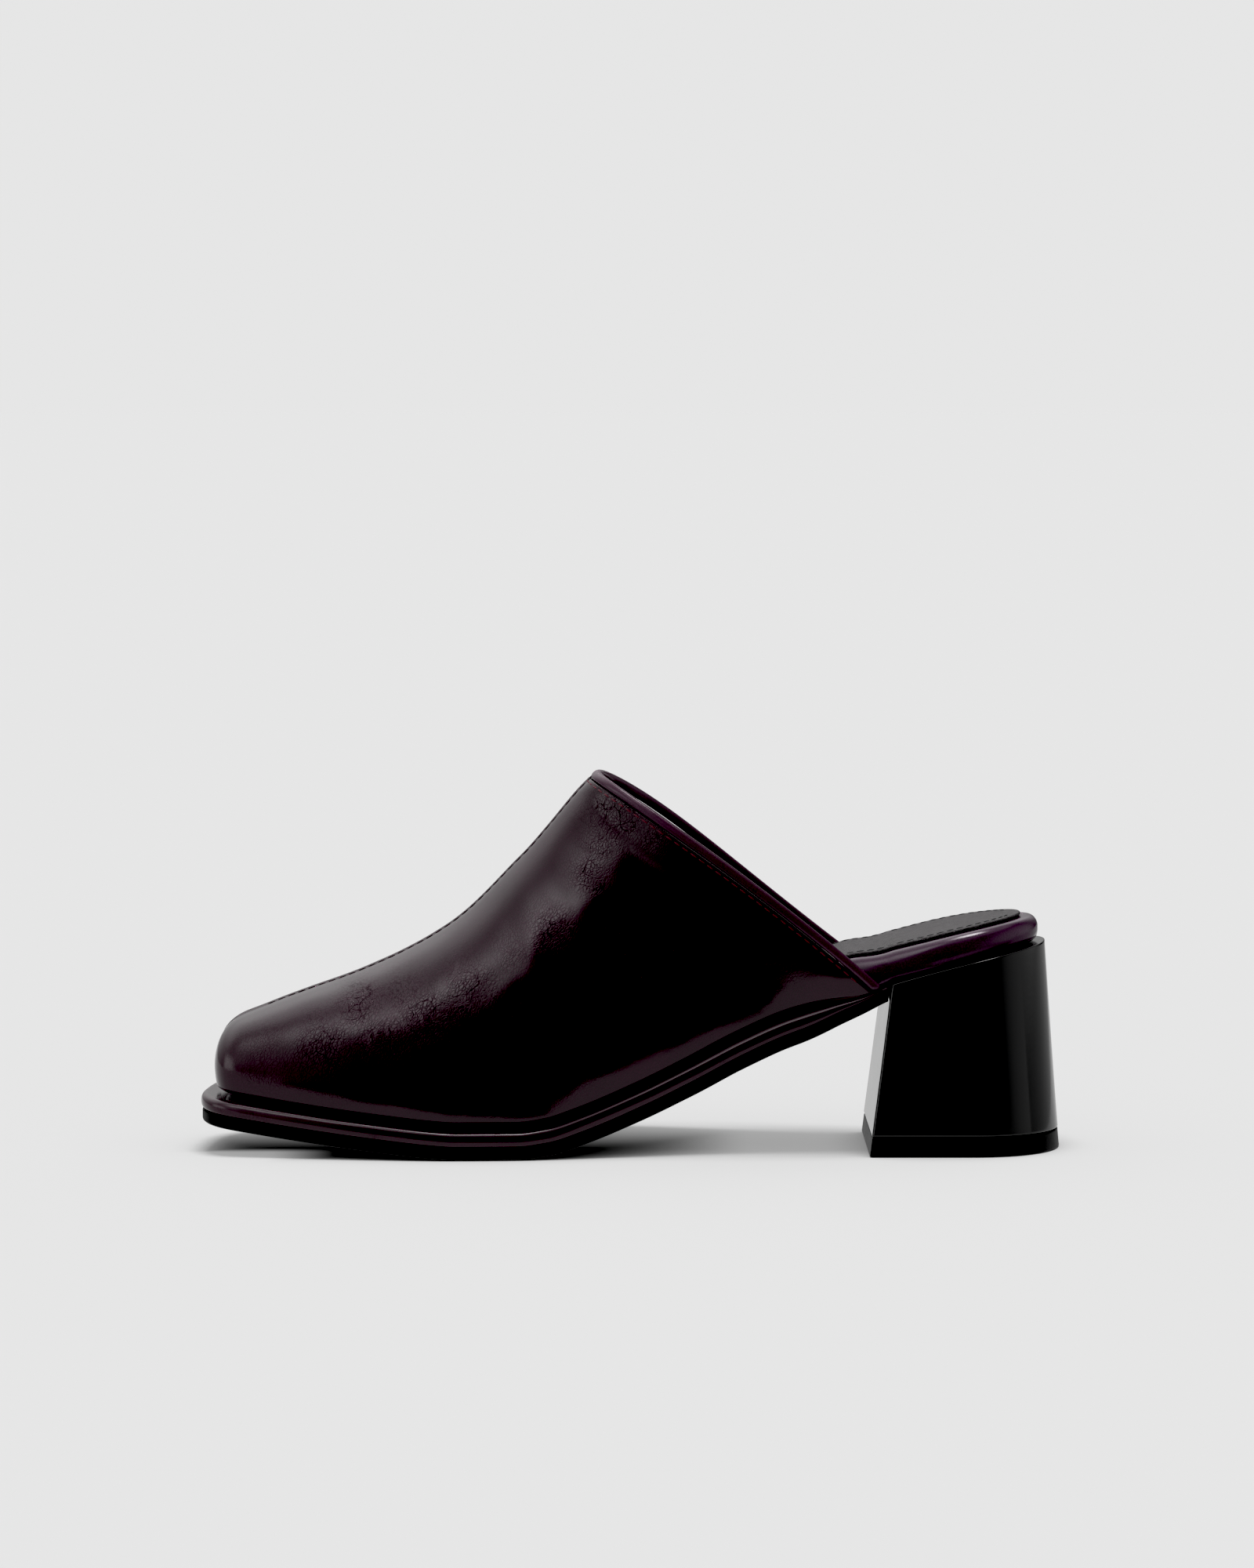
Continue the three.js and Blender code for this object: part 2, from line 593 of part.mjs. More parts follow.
function footbedOutline(extra, extraToe, extraBack) {
  const seatMargin = (side, x) => randHalf(side, x) - seatWidth / 2;
  const margin = (x, side) => mix(clearOfUpper(Math.min(x, upperEnd)), seatMargin(side, x),
    smooth(x, upperEnd, seatStart)) + extra(x);
  const toe = ledge + tuckIn + 2 * fitGap + extraToe;
  return seatOutline(seatStart, rimEnd - extraBack, margin, toe, seatWidth / 2 - extra(seatStart));
}

// The rim is rounded at the seat, and thin and square inside the forefoot
const rimRound = (x) => mix(rimRoundToe, 1, over(x, footbedRounds));
const footbed = flatPiece('footbed', oxblood,
  (inset) => footbedOutline((x) => inset * rimRound(x), inset * rimRoundToe, inset),
  rimEdge, footbedBottom, footbedTop);

const sockInside = (x) => mix(sockMarginToe, sockMargin, over(x, sockNarrows));
const insoleSock = flatPiece('insole_sock', blackLeather,
  (inset) => footbedOutline((x) => sockInside(x) + inset, sockMarginToe + inset, sockMargin + inset),
  sockEdge, (x) => footbedTop(x) + fitGap, (x) => footbedTop(x) + fitGap + sockThick);

const upper = makeUpper(oxblood);
const toplineBinding = makeBinding(oxbloodEdge);
const heel = heelPart('heel', blackLacquer, () => topLiftHeight + fitGap, seatLine, 7, 0);
const topLift = heelPart('top_lift', blackRubber, () => 0, () => topLiftHeight, 1, slip);

// The shoe stands on the floor with the middle of its box over the origin
const mule = new THREE.Group();
mule.add(outsole, rand, footbed, insoleSock, upper, toplineBinding, heel, topLift);
const box = new THREE.Box3().setFromObject(mule);
mule.position.set(-(box.min.x + box.max.x) / 2, -(box.min.y + box.max.y) / 2, -box.min.z);

export default mule;
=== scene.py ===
"""A square-toed block-heel mule in crinkled oxblood patent leather, for the right foot."""
import math

import bmesh
import bpy
import numpy as np
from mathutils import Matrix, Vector


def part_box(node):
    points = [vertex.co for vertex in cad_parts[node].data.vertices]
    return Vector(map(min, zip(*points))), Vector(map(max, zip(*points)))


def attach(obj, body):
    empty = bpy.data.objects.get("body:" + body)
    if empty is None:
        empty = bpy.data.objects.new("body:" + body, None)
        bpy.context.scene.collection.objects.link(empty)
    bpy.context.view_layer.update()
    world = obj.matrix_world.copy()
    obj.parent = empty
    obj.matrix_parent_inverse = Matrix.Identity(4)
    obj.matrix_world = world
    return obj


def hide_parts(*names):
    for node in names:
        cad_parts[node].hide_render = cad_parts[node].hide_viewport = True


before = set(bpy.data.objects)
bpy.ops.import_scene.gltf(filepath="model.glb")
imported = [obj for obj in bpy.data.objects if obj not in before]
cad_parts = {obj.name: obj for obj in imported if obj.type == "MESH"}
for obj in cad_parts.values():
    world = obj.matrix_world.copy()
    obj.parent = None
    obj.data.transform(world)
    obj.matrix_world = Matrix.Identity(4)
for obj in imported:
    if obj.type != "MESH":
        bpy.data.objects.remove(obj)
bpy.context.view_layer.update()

# Sizes of the whole shoe, in millimetres, as the solids have them
shoe_length = 253
ball_inner = 38.6
ball_outer = 48.4
seat_width = 56.4
toe_spring = 9.5
toe_corner = 15
toe_slant = 0.09
toe_tip_side = -8
throat_rise = 97
throat_at = 116.5
upper_end = 199.4
fit_gap = 0.3
slip = 0.15

# Sizes of the single pieces
outsole_thick = 3.1
outsole_inset = 0.4
sole_relief = 0.6
rand_thick = 4.6
rand_thin_end = 1.2
wall = 1.8
ledge = 3.9
ledge_side = 3.12
ledge_under = 1.9
tuck_in = 3
tuck_height = 2.6
seam_rise = 0.4
seam_half = 0.8
seam_foot = 0.6
seam_groove = 0.45
seam_groove_half = 0.28
skin_thick = 0.8
lining_depth = 1.25
binding_width = 3
binding_proud = 0.45
top_bow_inner = 2.3
top_bow_outer = 2.1
top_skew_inner = 1
top_skew_outer = 2.4
footbed_thin = 3
rim_thick = 8.9
rim_setback = 2
rim_back = 33
sock_thick = 1
sock_margin = 5.2
sock_margin_toe = 1.2
rim_round_toe = 0.3
heel_height = 61.2
seat_climb = 11
heel_top_length = 46.3
heel_bottom_length = 57.4
heel_back_lean = 4.7
heel_top_width = 58
heel_bottom_width = 60.6
heel_round = 27
heel_bulge = 0.9
seat_dome = 0.25
top_lift_height = 5.5

# Stations that follow from the sizes
stack = outsole_thick + rand_thick + fit_gap
breast_top = shoe_length - heel_back_lean - heel_top_length
breast_foot = shoe_length - heel_bottom_length
heel_top_back = shoe_length - heel_back_lean
seat_front = heel_height - seat_climb
rim_end = heel_top_back - rim_setback
sole_end = breast_top - fit_gap - sole_relief
seat_start = rim_end - rim_back

# Stretches over which one form runs into the next, as shares of the shoe's length
toe_reach = 0.16
slant_reach = 0.27
footbed_rounds = (0.5, 0.7)
sock_narrows = (0.45, 0.7)
tuck_fades = (0.66, 0.77)
rand_thins = 0.69
seat_levels = (0.7, 0.79)

toe_box_square = 3.4
toe_top_blend = 0.02
toe_plan_square = 3.1
back_square = 2.1
belly_low = 1.5
arch_full = 0.75


def table(columns, *rows):
    """A short table with named columns."""
    return {name: np.array(values, float) for name, values in zip(columns.split(), zip(*rows))}


# Rise of the sole line in the forefoot, as a share of the toe spring
spring_line = table(
    "at rise",
    (0, 1), (0.052, 0.79), (0.104, 0.585), (0.163, 0.37), (0.223, 0.175), (0.268, 0.05), (0.298, 0), (1, 0),
)

# Rise of the sole line in the waist, as a share of the way up to the heel seat
waist_line = table(
    "at rise",
    (0, 0), (0.367, 0), (0.402, 0.024), (0.439, 0.092), (0.502, 0.243), (0.562, 0.413), (0.622, 0.6),
    (0.676, 0.745), (0.731, 0.855), (0.767, 0.918), (0.799, 1),
)

# Outline of the rand, each side as a share of the way from the seat's half width to the ball's
plan_line = table(
    "at inner outer",
    (0, -0.11, -0.07), (0.06, 0.18, 0.145), (0.12, 0.47, 0.37), (0.2, 0.8, 0.66), (0.286, 1, 0.9),
    (0.357, 0.93, 1), (0.429, 0.62, 0.93), (0.516, 0.16, 0.68), (0.595, -0.12, 0.43), (0.675, -0.19, 0.2),
    (0.734, -0.13, 0.06), (0.8, -0.06, -0.01),
)

# Crest of the upper over the feather line, as shares of the throat's place and rise
crest_line = table(
    "at rise",
    (0, 0.182), (0.133, 0.263), (0.241, 0.332), (0.382, 0.415), (0.524, 0.512), (0.666, 0.634),
    (0.809, 0.804), (0.95, 0.962), (1, 1),
)

# The fan of sections from the toe box to the topline
fan = table(
    "row foot crest full swell_in swell_out to_inner",
    (0, 0, 0, 3.1, 0, 0, 0.03),
    (0.14, 0.14, 0.235, 2.75, 0.01, 0, 0.06),
    (0.28, 0.275, 0.445, 2.4, 0.02, 0, 0.1),
    (0.42, 0.41, 0.625, 2.25, 0.05, 0.01, 0.12),
    (0.56, 0.545, 0.765, 2.25, 0.12, 0.02, 0.11),
    (0.7, 0.68, 0.865, 2.4, 0.15, 0.02, 0.09),
    (0.84, 0.83, 0.935, 2.7, 0.1, 0.01, 0.06),
    (1, 1, 1, 3.1, 0.02, 0, 0.03),
)

# Footbed over the sole line, as a share of the way from its thin forefoot to its rim
footbed_line = table(
    "at swell",
    (0, 0), (0.5, 0), (0.58, 0.3), (0.66, 0.88), (0.71, 1.3), (0.75, 1.42), (0.798, 1.04), (0.88, 0.95),
    (0.98, 0.79),
)


def mix(a, b, share):
    return a + (b - a) * share


def smooth(value, low, high):
    share = np.clip((value - low) / (high - low), 0, 1)
    return share * share * (3 - 2 * share)


def over(x, stretch):
    return smooth(x, stretch[0] * shoe_length, stretch[1] * shoe_length)


def curve(rows, start, end):
    """A smooth curve through the rows of a table that never overshoots them."""
    places = rows[start]
    values = rows[end]
    slope = np.diff(values) / np.diff(places)
    product = slope[:-1] * slope[1:]
    total = np.where(product > 0, slope[:-1] + slope[1:], 1)
    tangent = np.concatenate([slope[:1], np.where(product > 0, 2 * product / total, 0), slope[-1:]])

    def at(place):
        place = np.asarray(place, float)
        i = np.clip(np.searchsorted(places, place, side="right") - 1, 0, len(places) - 2)
        span = places[i + 1] - places[i]
        share = (place - places[i]) / span
        t = np.clip(share, 0, 1)
        s = 1 - t
        value = values[i] * s * s * (1 + 2 * t) + values[i + 1] * t * t * (1 + 2 * s)
        value += span * (tangent[i] * t * s * s - tangent[i + 1] * t * t * s)
        return value + np.where(share < 0, tangent[0], tangent[-1]) * (share - t) * span

    return at


spring = curve(spring_line, "at", "rise")
waist = curve(waist_line, "at", "rise")
swell_inner = curve(plan_line, "at", "inner")
swell_outer = curve(plan_line, "at", "outer")
crest_rise = curve(crest_line, "at", "rise")
footbed_swell = curve(footbed_line, "at", "swell")
fan_foot = curve(fan, "row", "foot")
fan_crest = curve(fan, "row", "crest")
fan_full = curve(fan, "row", "full")
fan_swell_in = curve(fan, "row", "swell_in")
fan_swell_out = curve(fan, "row", "swell_out")
fan_to_inner = curve(fan, "row", "to_inner")


def seat_line(x):
    share = (x - breast_top) / heel_top_length
    return seat_front + seat_climb * share * (1 + seat_dome * (1 - share))


def feather_line(x):
    """Height where the rand's top meets the upper and the footbed."""
    at = x / shoe_length
    front = stack + toe_spring * spring(at) + (seat_front - stack) * waist(at)
    return np.where(x >= breast_top, seat_line(x), front)


def slope_factor(x):
    step = 2
    rise = (feather_line(x + step) - feather_line(x - step)) / (2 * step)
    return mix(np.hypot(1, rise), 1, over(x, seat_levels))


def rand_bottom(x):
    thin = smooth(x, rand_thins * shoe_length, sole_end)
    return feather_line(x) - mix(rand_thick, rand_thin_end, thin) * slope_factor(x)


def outsole_top(x):
    return rand_bottom(x) - fit_gap


def outsole_bottom(x):
    return np.maximum(0, outsole_top(x) - outsole_thick * slope_factor(x))


def footbed_bottom(x):
    return feather_line(x) + fit_gap


def footbed_top(x):
    return footbed_bottom(x) + mix(footbed_thin, rim_thick, footbed_swell(x / shoe_length))


def crest_height(x):
    return feather_line(x) + throat_rise * crest_rise(x / throat_at)


def rand_half(side, x):
    at = x / shoe_length
    inner = mix(seat_width / 2, ball_inner, swell_inner(at))
    outer = mix(seat_width / 2, ball_outer, swell_outer(at))
    return np.where(side < 0, inner, outer)


def ledge_at(x):
    shown = mix(ledge, ledge_side, smooth(x, 0, toe_reach * shoe_length))
    return mix(shown, -ledge_under, smooth(x, tuck_fades[0] * shoe_length, upper_end))


def tuck_at(x):
    return tuck_in * (1 - over(x, tuck_fades))


def upper_half(side, x):
    return rand_half(side, x) - ledge_at(x)


def slanted(x, y, z):
    """The square toe is cut on a slant, with its outer side further back."""
    fade = 1 - smooth(x, 0, slant_reach * shoe_length)
    return np.stack(np.broadcast_arrays(x + toe_slant * (y - toe_tip_side) * fade, y, z), axis=-1)


def upper_point(row, side, angle, depth, down=0.0):
    """Points on the upper, by the same rule as its solid.

    row is -1 at the front feather edge, 0 behind the toe box and 1 at the topline. angle runs from 0
    above the feather edge to a right angle at the crest. depth goes in from the outside, and down runs
    from 0 to 1 through the turned-in edge.
    """
    row, side, angle, depth, down = np.broadcast_arrays(*(np.asarray(v, float) for v in
                                                          (row, side, angle, depth, down)))
    front = row < 0
    fan_row = np.maximum(row, 0)
    foot = mix(toe_corner, upper_end, fan_foot(fan_row))
    crest_at = mix(toe_corner, throat_at, fan_crest(fan_row))
    toe_turn = np.where(front, math.pi / 2 * (1 + row), math.pi / 2)
    ahead = np.where(front, np.sin(angle) * np.cos(toe_turn), 0)
    upward = np.sin(angle) * np.sin(toe_turn)
    aside = np.maximum(np.cos(angle), 0)
    square = ahead * ahead / (ahead * ahead + aside * aside + toe_top_blend)
    full = np.where(front, mix(fan_full(0), toe_box_square, square), fan_full(fan_row))
    plan = (ahead ** toe_plan_square + aside ** toe_plan_square) ** (1 / toe_plan_square)
    reach = (plan ** full + upward ** full) ** (-1 / full)
    high = upward * reach
    toe_length = toe_corner - ledge - depth
    x0 = np.where(front, toe_corner - toe_length * ahead * reach, foot)
    x1 = np.where(front, x0, crest_at)
    base = feather_line(x0) + fit_gap
    crest = crest_height(x1)
    rise = np.hypot(x1 - x0, crest - base)
    turned = tuck_at(x0) / tuck_in
    lift = np.clip(depth, 0, wall) * turned
    low = mix(tuck_height, lift, down) / rise
    climb = low + ((rise - depth) / rise - low) * high
    half = upper_half(side, x0) - depth
    nose_on = (ahead * reach) ** (toe_plan_square - 1) / toe_length
    side_on = (aside * reach) ** (toe_plan_square - 1) / half
    turn = (tuck_in * turned - lift) * (1 - np.sqrt(np.maximum(0, 1 - down * down)))
    turn_in = turn / np.maximum(np.hypot(nose_on, side_on), 1e-9)
    crest_side = -fan_to_inner(fan_row) * ball_inner * (1 - aside * reach)
    swell = np.where(side < 0, fan_swell_in(fan_row), fan_swell_out(fan_row))
    swell = swell * smooth(row, 0, fan["row"][2])
    belly = swell * ball_inner * np.sin(math.pi * np.clip(high, 0, 1)) ** belly_low
    y = crest_side + side * (half * aside * reach + belly - turn_in * side_on)
    arch = np.where(side < 0, top_bow_inner, top_bow_outer)
    skew = np.where(side < 0, top_skew_inner, top_skew_outer)
    bow = arch * fan_row ** 2 * np.sin(math.pi * np.clip(climb, 0, 1) ** skew) ** arch_full
    x = mix(x0, x1, climb) + turn_in * nose_on + bow * (crest - base) / rise
    z = mix(base, crest, climb) + bow * (x0 - x1) / rise
    return slanted(x, y, z)


def row_before(side, angle, distance):
    """The row at a set distance before the topline, measured over the surface."""
    step = 0.01
    edge = upper_point(1, side, angle, 0)
    span = np.linalg.norm(edge - upper_point(1 - step, side, angle, 0), axis=-1)
    return 1 - distance * step / span


# Where the shoe's own middle line and tip lie in the frame
lift_low, lift_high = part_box("top_lift")
to_frame = Vector((
    lift_high.x - (shoe_length - slip) / 1000,
    (lift_low.y + lift_high.y) / 2,
    lift_low.z,
))


def in_frame(points):
    """Millimetres from the toe's tip and the middle line, as metres in the frame."""
    return np.asarray(points, float) / 1000 + np.array(to_frame)


def in_shoe(points):
    """Metres in the frame, as millimetres from the toe's tip and the middle line."""
    return (np.asarray(points, float) - np.array(to_frame)) * 1000


def patch(shape, across, along, place):
    """Adds a grid to a shape and lays it where place puts its shares across and along."""
    made = bmesh.ops.create_grid(shape, x_segments=across, y_segments=along, size=0.5)["verts"]
    spots = np.clip(np.array([vertex.co[:2] for vertex in made]) + 0.5, 0, 1)
    for vertex, point in zip(made, in_frame(place(spots[:, 0], spots[:, 1]))):
        vertex.co = point


def finished(name, shape, material, node, weld=1e-5):
    """Closes a shape's seams and poles and makes it a piece that stands for a solid."""
    bmesh.ops.remove_doubles(shape, verts=shape.verts[:], dist=weld)
    bmesh.ops.dissolve_degenerate(shape, edges=shape.edges[:], dist=weld)
    bmesh.ops.recalc_face_normals(shape, faces=shape.faces[:])
    mesh = bpy.data.meshes.new(name)
    shape.to_mesh(mesh)
    shape.free()
    piece = bpy.data.objects.new(name, mesh)
    bpy.context.scene.collection.objects.link(piece)
    mesh.materials.append(material)
    mesh.polygons.foreach_set("use_smooth", np.ones(len(mesh.polygons), bool))
    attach(piece, "root")
    if node:
        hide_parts(node)
    return piece


def mesh_points(piece):
    points = np.empty(len(piece.data.vertices) * 3, np.float32)
    piece.data.vertices.foreach_get("co", points)
    return points.reshape(-1, 3).astype(float)


def mesh_normals(piece):
    normals = np.empty(len(piece.data.vertices) * 3, np.float32)
    piece.data.vertex_normals.foreach_get("vector", normals)
    return normals.reshape(-1, 3).astype(float)


def move_points(piece, points):
    piece.data.vertices.foreach_set("co", points.astype(np.float32).ravel())
    piece.data.update()


class Value:
    """A shader value that Python's own operators work on."""

    def __init__(self, tree, socket):
        self.tree = tree
        self.socket = socket

    def maths(self, operation, *others, clamp=False):
        node = self.tree.nodes.new("ShaderNodeMath")
        node.operation = operation
        node.use_clamp = clamp
        for socket, value in zip(node.inputs, others):
            if isinstance(value, Value):
                self.tree.links.new(value.socket, socket)
            else:
                socket.default_value = value
        return Value(self.tree, node.outputs[0])

    def __add__(self, other):
        return self.maths("ADD", self, other)

    def __radd__(self, other):
        return self.maths("ADD", other, self)

    def __sub__(self, other):
        return self.maths("SUBTRACT", self, other)

    def __rsub__(self, other):
        return self.maths("SUBTRACT", other, self)

    def __mul__(self, other):
        return self.maths("MULTIPLY", self, other)

    def __rmul__(self, other):
        return self.maths("MULTIPLY", other, self)

    def __truediv__(self, other):
        return self.maths("DIVIDE", self, other)

    def __rtruediv__(self, other):
        return self.maths("DIVIDE", other, self)

    def __pow__(self, other):
        return self.maths("POWER", self, other)

    def most(self, other):
        return self.maths("MAXIMUM", self, other)

    def held(self):
        return self.maths("ADD", self, 0.0, clamp=True)

    def between(self, low, high):
        """0 below low, 1 above high, and a soft step from one to the other."""
        share = ((self - low) / (high - low)).held()
        return share * share * (3.0 - 2.0 * share)


class Finish:
    """A material's nodes, made with one method."""

    def __init__(self, name, world=None):
        if world is None:
            self.owner = bpy.data.materials.new(name)
        else:
            self.owner = world
        self.owner.use_nodes = True
        self.tree = self.owner.node_tree
        self.tree.nodes.clear()

    def node(self, kind, settings=None, output=0, **sockets):
        """One node: its type, its settings, and the values or links of its sockets by name."""
        made = self.tree.nodes.new("ShaderNode" + kind)
        for name, value in (settings or {}).items():
            setattr(made, name, value)
        for name, value in sockets.items():
            socket = self.socket(made, name)
            if isinstance(value, Value):
                self.tree.links.new(value.socket, socket)
            elif isinstance(value, (int, float)) or len(value) == len(socket.default_value):
                socket.default_value = value
            else:
                socket.default_value = (*value, 1)
        if output is None:
            return made
        return Value(self.tree, made.outputs[output])

    @staticmethod
    def socket(made, name):
        if name.startswith("in_"):
            return made.inputs[int(name[3:])]
        plain = name.replace("_", " ").lower()
        return next(s for s in made.inputs if s.name.lower() == plain and s.enabled)

    def place(self):
        return self.node("TexCoord", output="Object")

    def parts(self, vector):
        split = self.node("SeparateXYZ", output=None, vector=vector)
        return [Value(self.tree, socket) for socket in split.outputs]

    def noise(self, vector, scale, detail=2.0, roughness=0.5, distortion=0.0):
        return self.node("TexNoise", vector=vector, scale=scale, detail=detail, roughness=roughness,
                         distortion=distortion)

    def blend(self, share, low, high):
        return self.node("Mix", {"data_type": "RGBA"}, output=2, in_0=share, in_6=low, in_7=high)

    def shader(self, **sockets):
        surface = self.node("BsdfPrincipled", **sockets)
        self.node("OutputMaterial", output=None, surface=surface)
        return self.owner


def crackle(finish, place, size, width, seed, long=1.0):
    """Fine cracks between small plates of leather, from -1 in the cracks to 0 on the plates."""
    shift = finish.node("Mapping", {"vector_type": "TEXTURE"}, vector=place,
                        location=(seed, seed * 1.7, -seed), rotation=(0, 0.52, 0), scale=(1, 1, long))
    bent = finish.node("TexNoise", output="Color", vector=shift, scale=0.4 / size, detail=3.0)
    pull = finish.node("VectorMath", {"operation": "SCALE"}, vector=bent, scale=size * 2.2)
    moved = finish.node("VectorMath", {"operation": "ADD"}, in_0=shift, in_1=pull)
    plates = finish.node("TexVoronoi", {"feature": "DISTANCE_TO_EDGE"}, vector=moved, scale=1 / size)
    return plates.between(0.0, width) - 1.0


def patent(name, colour, deep, rough, grain=1.0, wrinkled=False):
    """Patent leather: fine cracks in patches, darkened by painted shade that also takes their gloss, a fine
    grain, mottled colour and a gloss that varies.
    """
    finish = Finish(name)
    place = finish.place()
    cloud = finish.noise(place, 130.0, 3.0, 0.6)
    if wrinkled:
        worn = finish.node("Attribute", {"attribute_name": "wrinkles"}, output="Fac")
        worn = (worn * (0.45 + 1.1 * cloud)).held()
    else:
        worn = cloud.between(0.5, 0.7) * 0.4
    fine = crackle(finish, place, 0.0008, 0.17, 0.3, 1.7)
    plates = crackle(finish, place, 0.0045, 0.04, 1.1, 1.3)
    turned = finish.node("Mapping", {"vector_type": "TEXTURE"}, vector=place, rotation=(0, -0.5, 0),
                         scale=(7, 1, 1))
    hair = finish.noise(turned, 1300.0, 2.0, 0.6)
    pebble = finish.noise(place, 1700.0, 2.0, 0.6)
    ripple = finish.noise(place, 160.0, 2.0, 0.5, 0.4)
    cracks = fine * (worn * 0.8 + 0.02) + plates * ((worn - 0.3).most(0.0) * 1.4)
    height = pebble * 0.035 + hair * 0.05 + ripple * 0.35 + cracks * 0.42 + cloud * worn * 0.5
    relief = finish.node("Bump", {}, strength=grain, distance=0.0001, height=height)
    mottle = finish.noise(place, 30.0, 4.0, 0.65)
    tint = finish.blend(mottle.between(0.35, 0.65), deep, colour)
    speckle = finish.noise(place, 2600.0, 2.0, 0.6).between(0.32, 0.68)
    tint = finish.blend(0.62 + 0.38 * speckle, (0.0, 0.0, 0.0), tint)
    # painted shade: the cracks are darkened towards near black and made partly metallic, so that their
    # reflection goes dark as well
    crack_shade = (0.0 - cracks).held() * 0.8
    tint = finish.blend(crack_shade, tint, (0.002, 0.0004, 0.001))
    gloss = rough + 0.05 * finish.noise(place, 45.0, 3.0, 0.6) + 0.05 * worn
    return finish.shader(base_color=tint, roughness=gloss, metallic=crack_shade, normal=relief)


oxblood = patent("oxblood_patent", (0.044, 0.004, 0.022), (0.034, 0.003, 0.0165), 0.09, wrinkled=True)
oxblood_edge = patent("oxblood_edge_leather", (0.11, 0.028, 0.074), (0.09, 0.021, 0.06), 0.22, 0.4)
oxblood_rim = patent("oxblood_rim_leather", (0.095, 0.022, 0.08), (0.078, 0.017, 0.064), 0.15, 0.3)
oxblood_bead = patent("oxblood_bead_leather", (0.05, 0.006, 0.026), (0.04, 0.004, 0.019), 0.11, 0.3)


def black_leather():
    finish = Finish("black_sock_leather")
    place = finish.place()
    grain = crackle(finish, place, 0.0009, 0.3, 0.7) * 0.6 + finish.noise(place, 1400.0, 3.0, 0.6) * 0.6
    relief = finish.node("Bump", {}, strength=1.0, distance=0.0002, height=grain)
    tone = finish.blend(finish.noise(place, 90.0, 4.0, 0.6), (0.012, 0.009, 0.011), (0.03, 0.022, 0.026))
    gloss = 0.42 + 0.12 * finish.noise(place, 300.0, 2.0, 0.5)
    return finish.shader(base_color=tone, roughness=gloss, normal=relief)


def dark_lining():
    finish = Finish("dark_lining")
    place = finish.place()
    grain = finish.noise(place, 1300.0, 3.0, 0.6)
    relief = finish.node("Bump", {}, strength=0.6, distance=0.0001, height=grain)
    tone = finish.blend(finish.noise(place, 70.0, 3.0, 0.6), (0.03, 0.012, 0.016), (0.045, 0.02, 0.025))
    return finish.shader(base_color=tone, roughness=0.55, normal=relief)


def rubber(name, tone, rough):
    finish = Finish(name)
    place = finish.place()
    grain = finish.noise(place, 1500.0, 2.0, 0.6) + 0.5 * finish.noise(place, 160.0, 3.0, 0.6)
    relief = finish.node("Bump", {}, strength=0.35, distance=0.0001, height=grain)
    low = tuple(0.6 * part for part in tone)
    shade = finish.blend(finish.noise(place, 120.0, 3.0, 0.6), low, tone)
    gloss = rough + 0.12 * finish.noise(place, 220.0, 3.0, 0.6)
    return finish.shader(base_color=shade, roughness=gloss, normal=relief, specular_ior_level=0.1)


def lacquer():
    finish = Finish("black_heel_lacquer")
    place = finish.place()
    wave = finish.noise(place, 30.0, 2.0, 0.5) + 0.12 * finish.noise(place, 700.0, 2.0, 0.5)
    relief = finish.node("Bump", {}, strength=0.12, distance=0.0004, height=wave)
    tone = finish.blend(finish.noise(place, 50.0, 3.0, 0.6), (0.002, 0.002, 0.0021), (0.004, 0.0038, 0.004))
    gloss = 0.09 + 0.05 * finish.noise(place, 130.0, 4.0, 0.7)
    return finish.shader(base_color=tone, roughness=gloss, normal=relief)


def thread(name, tone):
    finish = Finish(name)
    place = finish.place()
    twist = finish.node("TexWave", {"bands_direction": "DIAGONAL"}, output=1, vector=place, scale=900.0)
    relief = finish.node("Bump", {}, strength=0.5, distance=0.00006, height=twist)
    low = tuple(0.7 * part for part in tone)
    shade = finish.blend(finish.noise(place, 400.0, 2.0, 0.5), low, tone)
    return finish.shader(base_color=shade, roughness=0.5, normal=relief)


sock_leather = black_leather()
lining_leather = dark_lining()
sole_rubber = rubber("black_sole_rubber", (0.004, 0.004, 0.0042), 0.42)
lift_rubber = rubber("black_lift_rubber", (0.006, 0.006, 0.0062), 0.36)
heel_lacquer = lacquer()
oxblood_thread = thread("oxblood_thread", (0.22, 0.035, 0.06))
seam_thread = thread("dark_seam_thread", (0.02, 0.003, 0.008))
black_thread = thread("black_thread", (0.012, 0.012, 0.012))


def seam_height(angle, half):
    """The raised strip along the middle of the upper, with a fine groove where its halves meet."""
    off = (math.pi / 2 - angle) * half
    strip = 1 - smooth(off, seam_half, seam_half + seam_foot)
    groove = seam_groove * np.exp(-(off / seam_groove_half) ** 2)
    return seam_rise * strip * (1 - groove)


def across_upper(share, row):
    """Side, angle and seam height for a share of the way from the inner feather edge to the outer."""
    seam_from = 0.88
    side = np.where(share < 0.5, -1.0, 1.0)
    from_foot = 1 - np.abs(2 * share - 1)
    half = upper_half(1, mix(toe_corner, upper_end, fan_foot(np.maximum(row, 0))))
    strip = 3 * (seam_half + seam_foot) / half
    near = np.clip((from_foot - seam_from) / (1 - seam_from), 0, 1)
    angle = (math.pi / 2 - strip) * np.minimum(from_foot / seam_from, 1) + strip * near
    return side, angle, seam_height(angle, half)


edge_clearance = binding_width + fit_gap
across_steps = 208
turn_steps = 8
row_steps = 172
toe_steps = 34


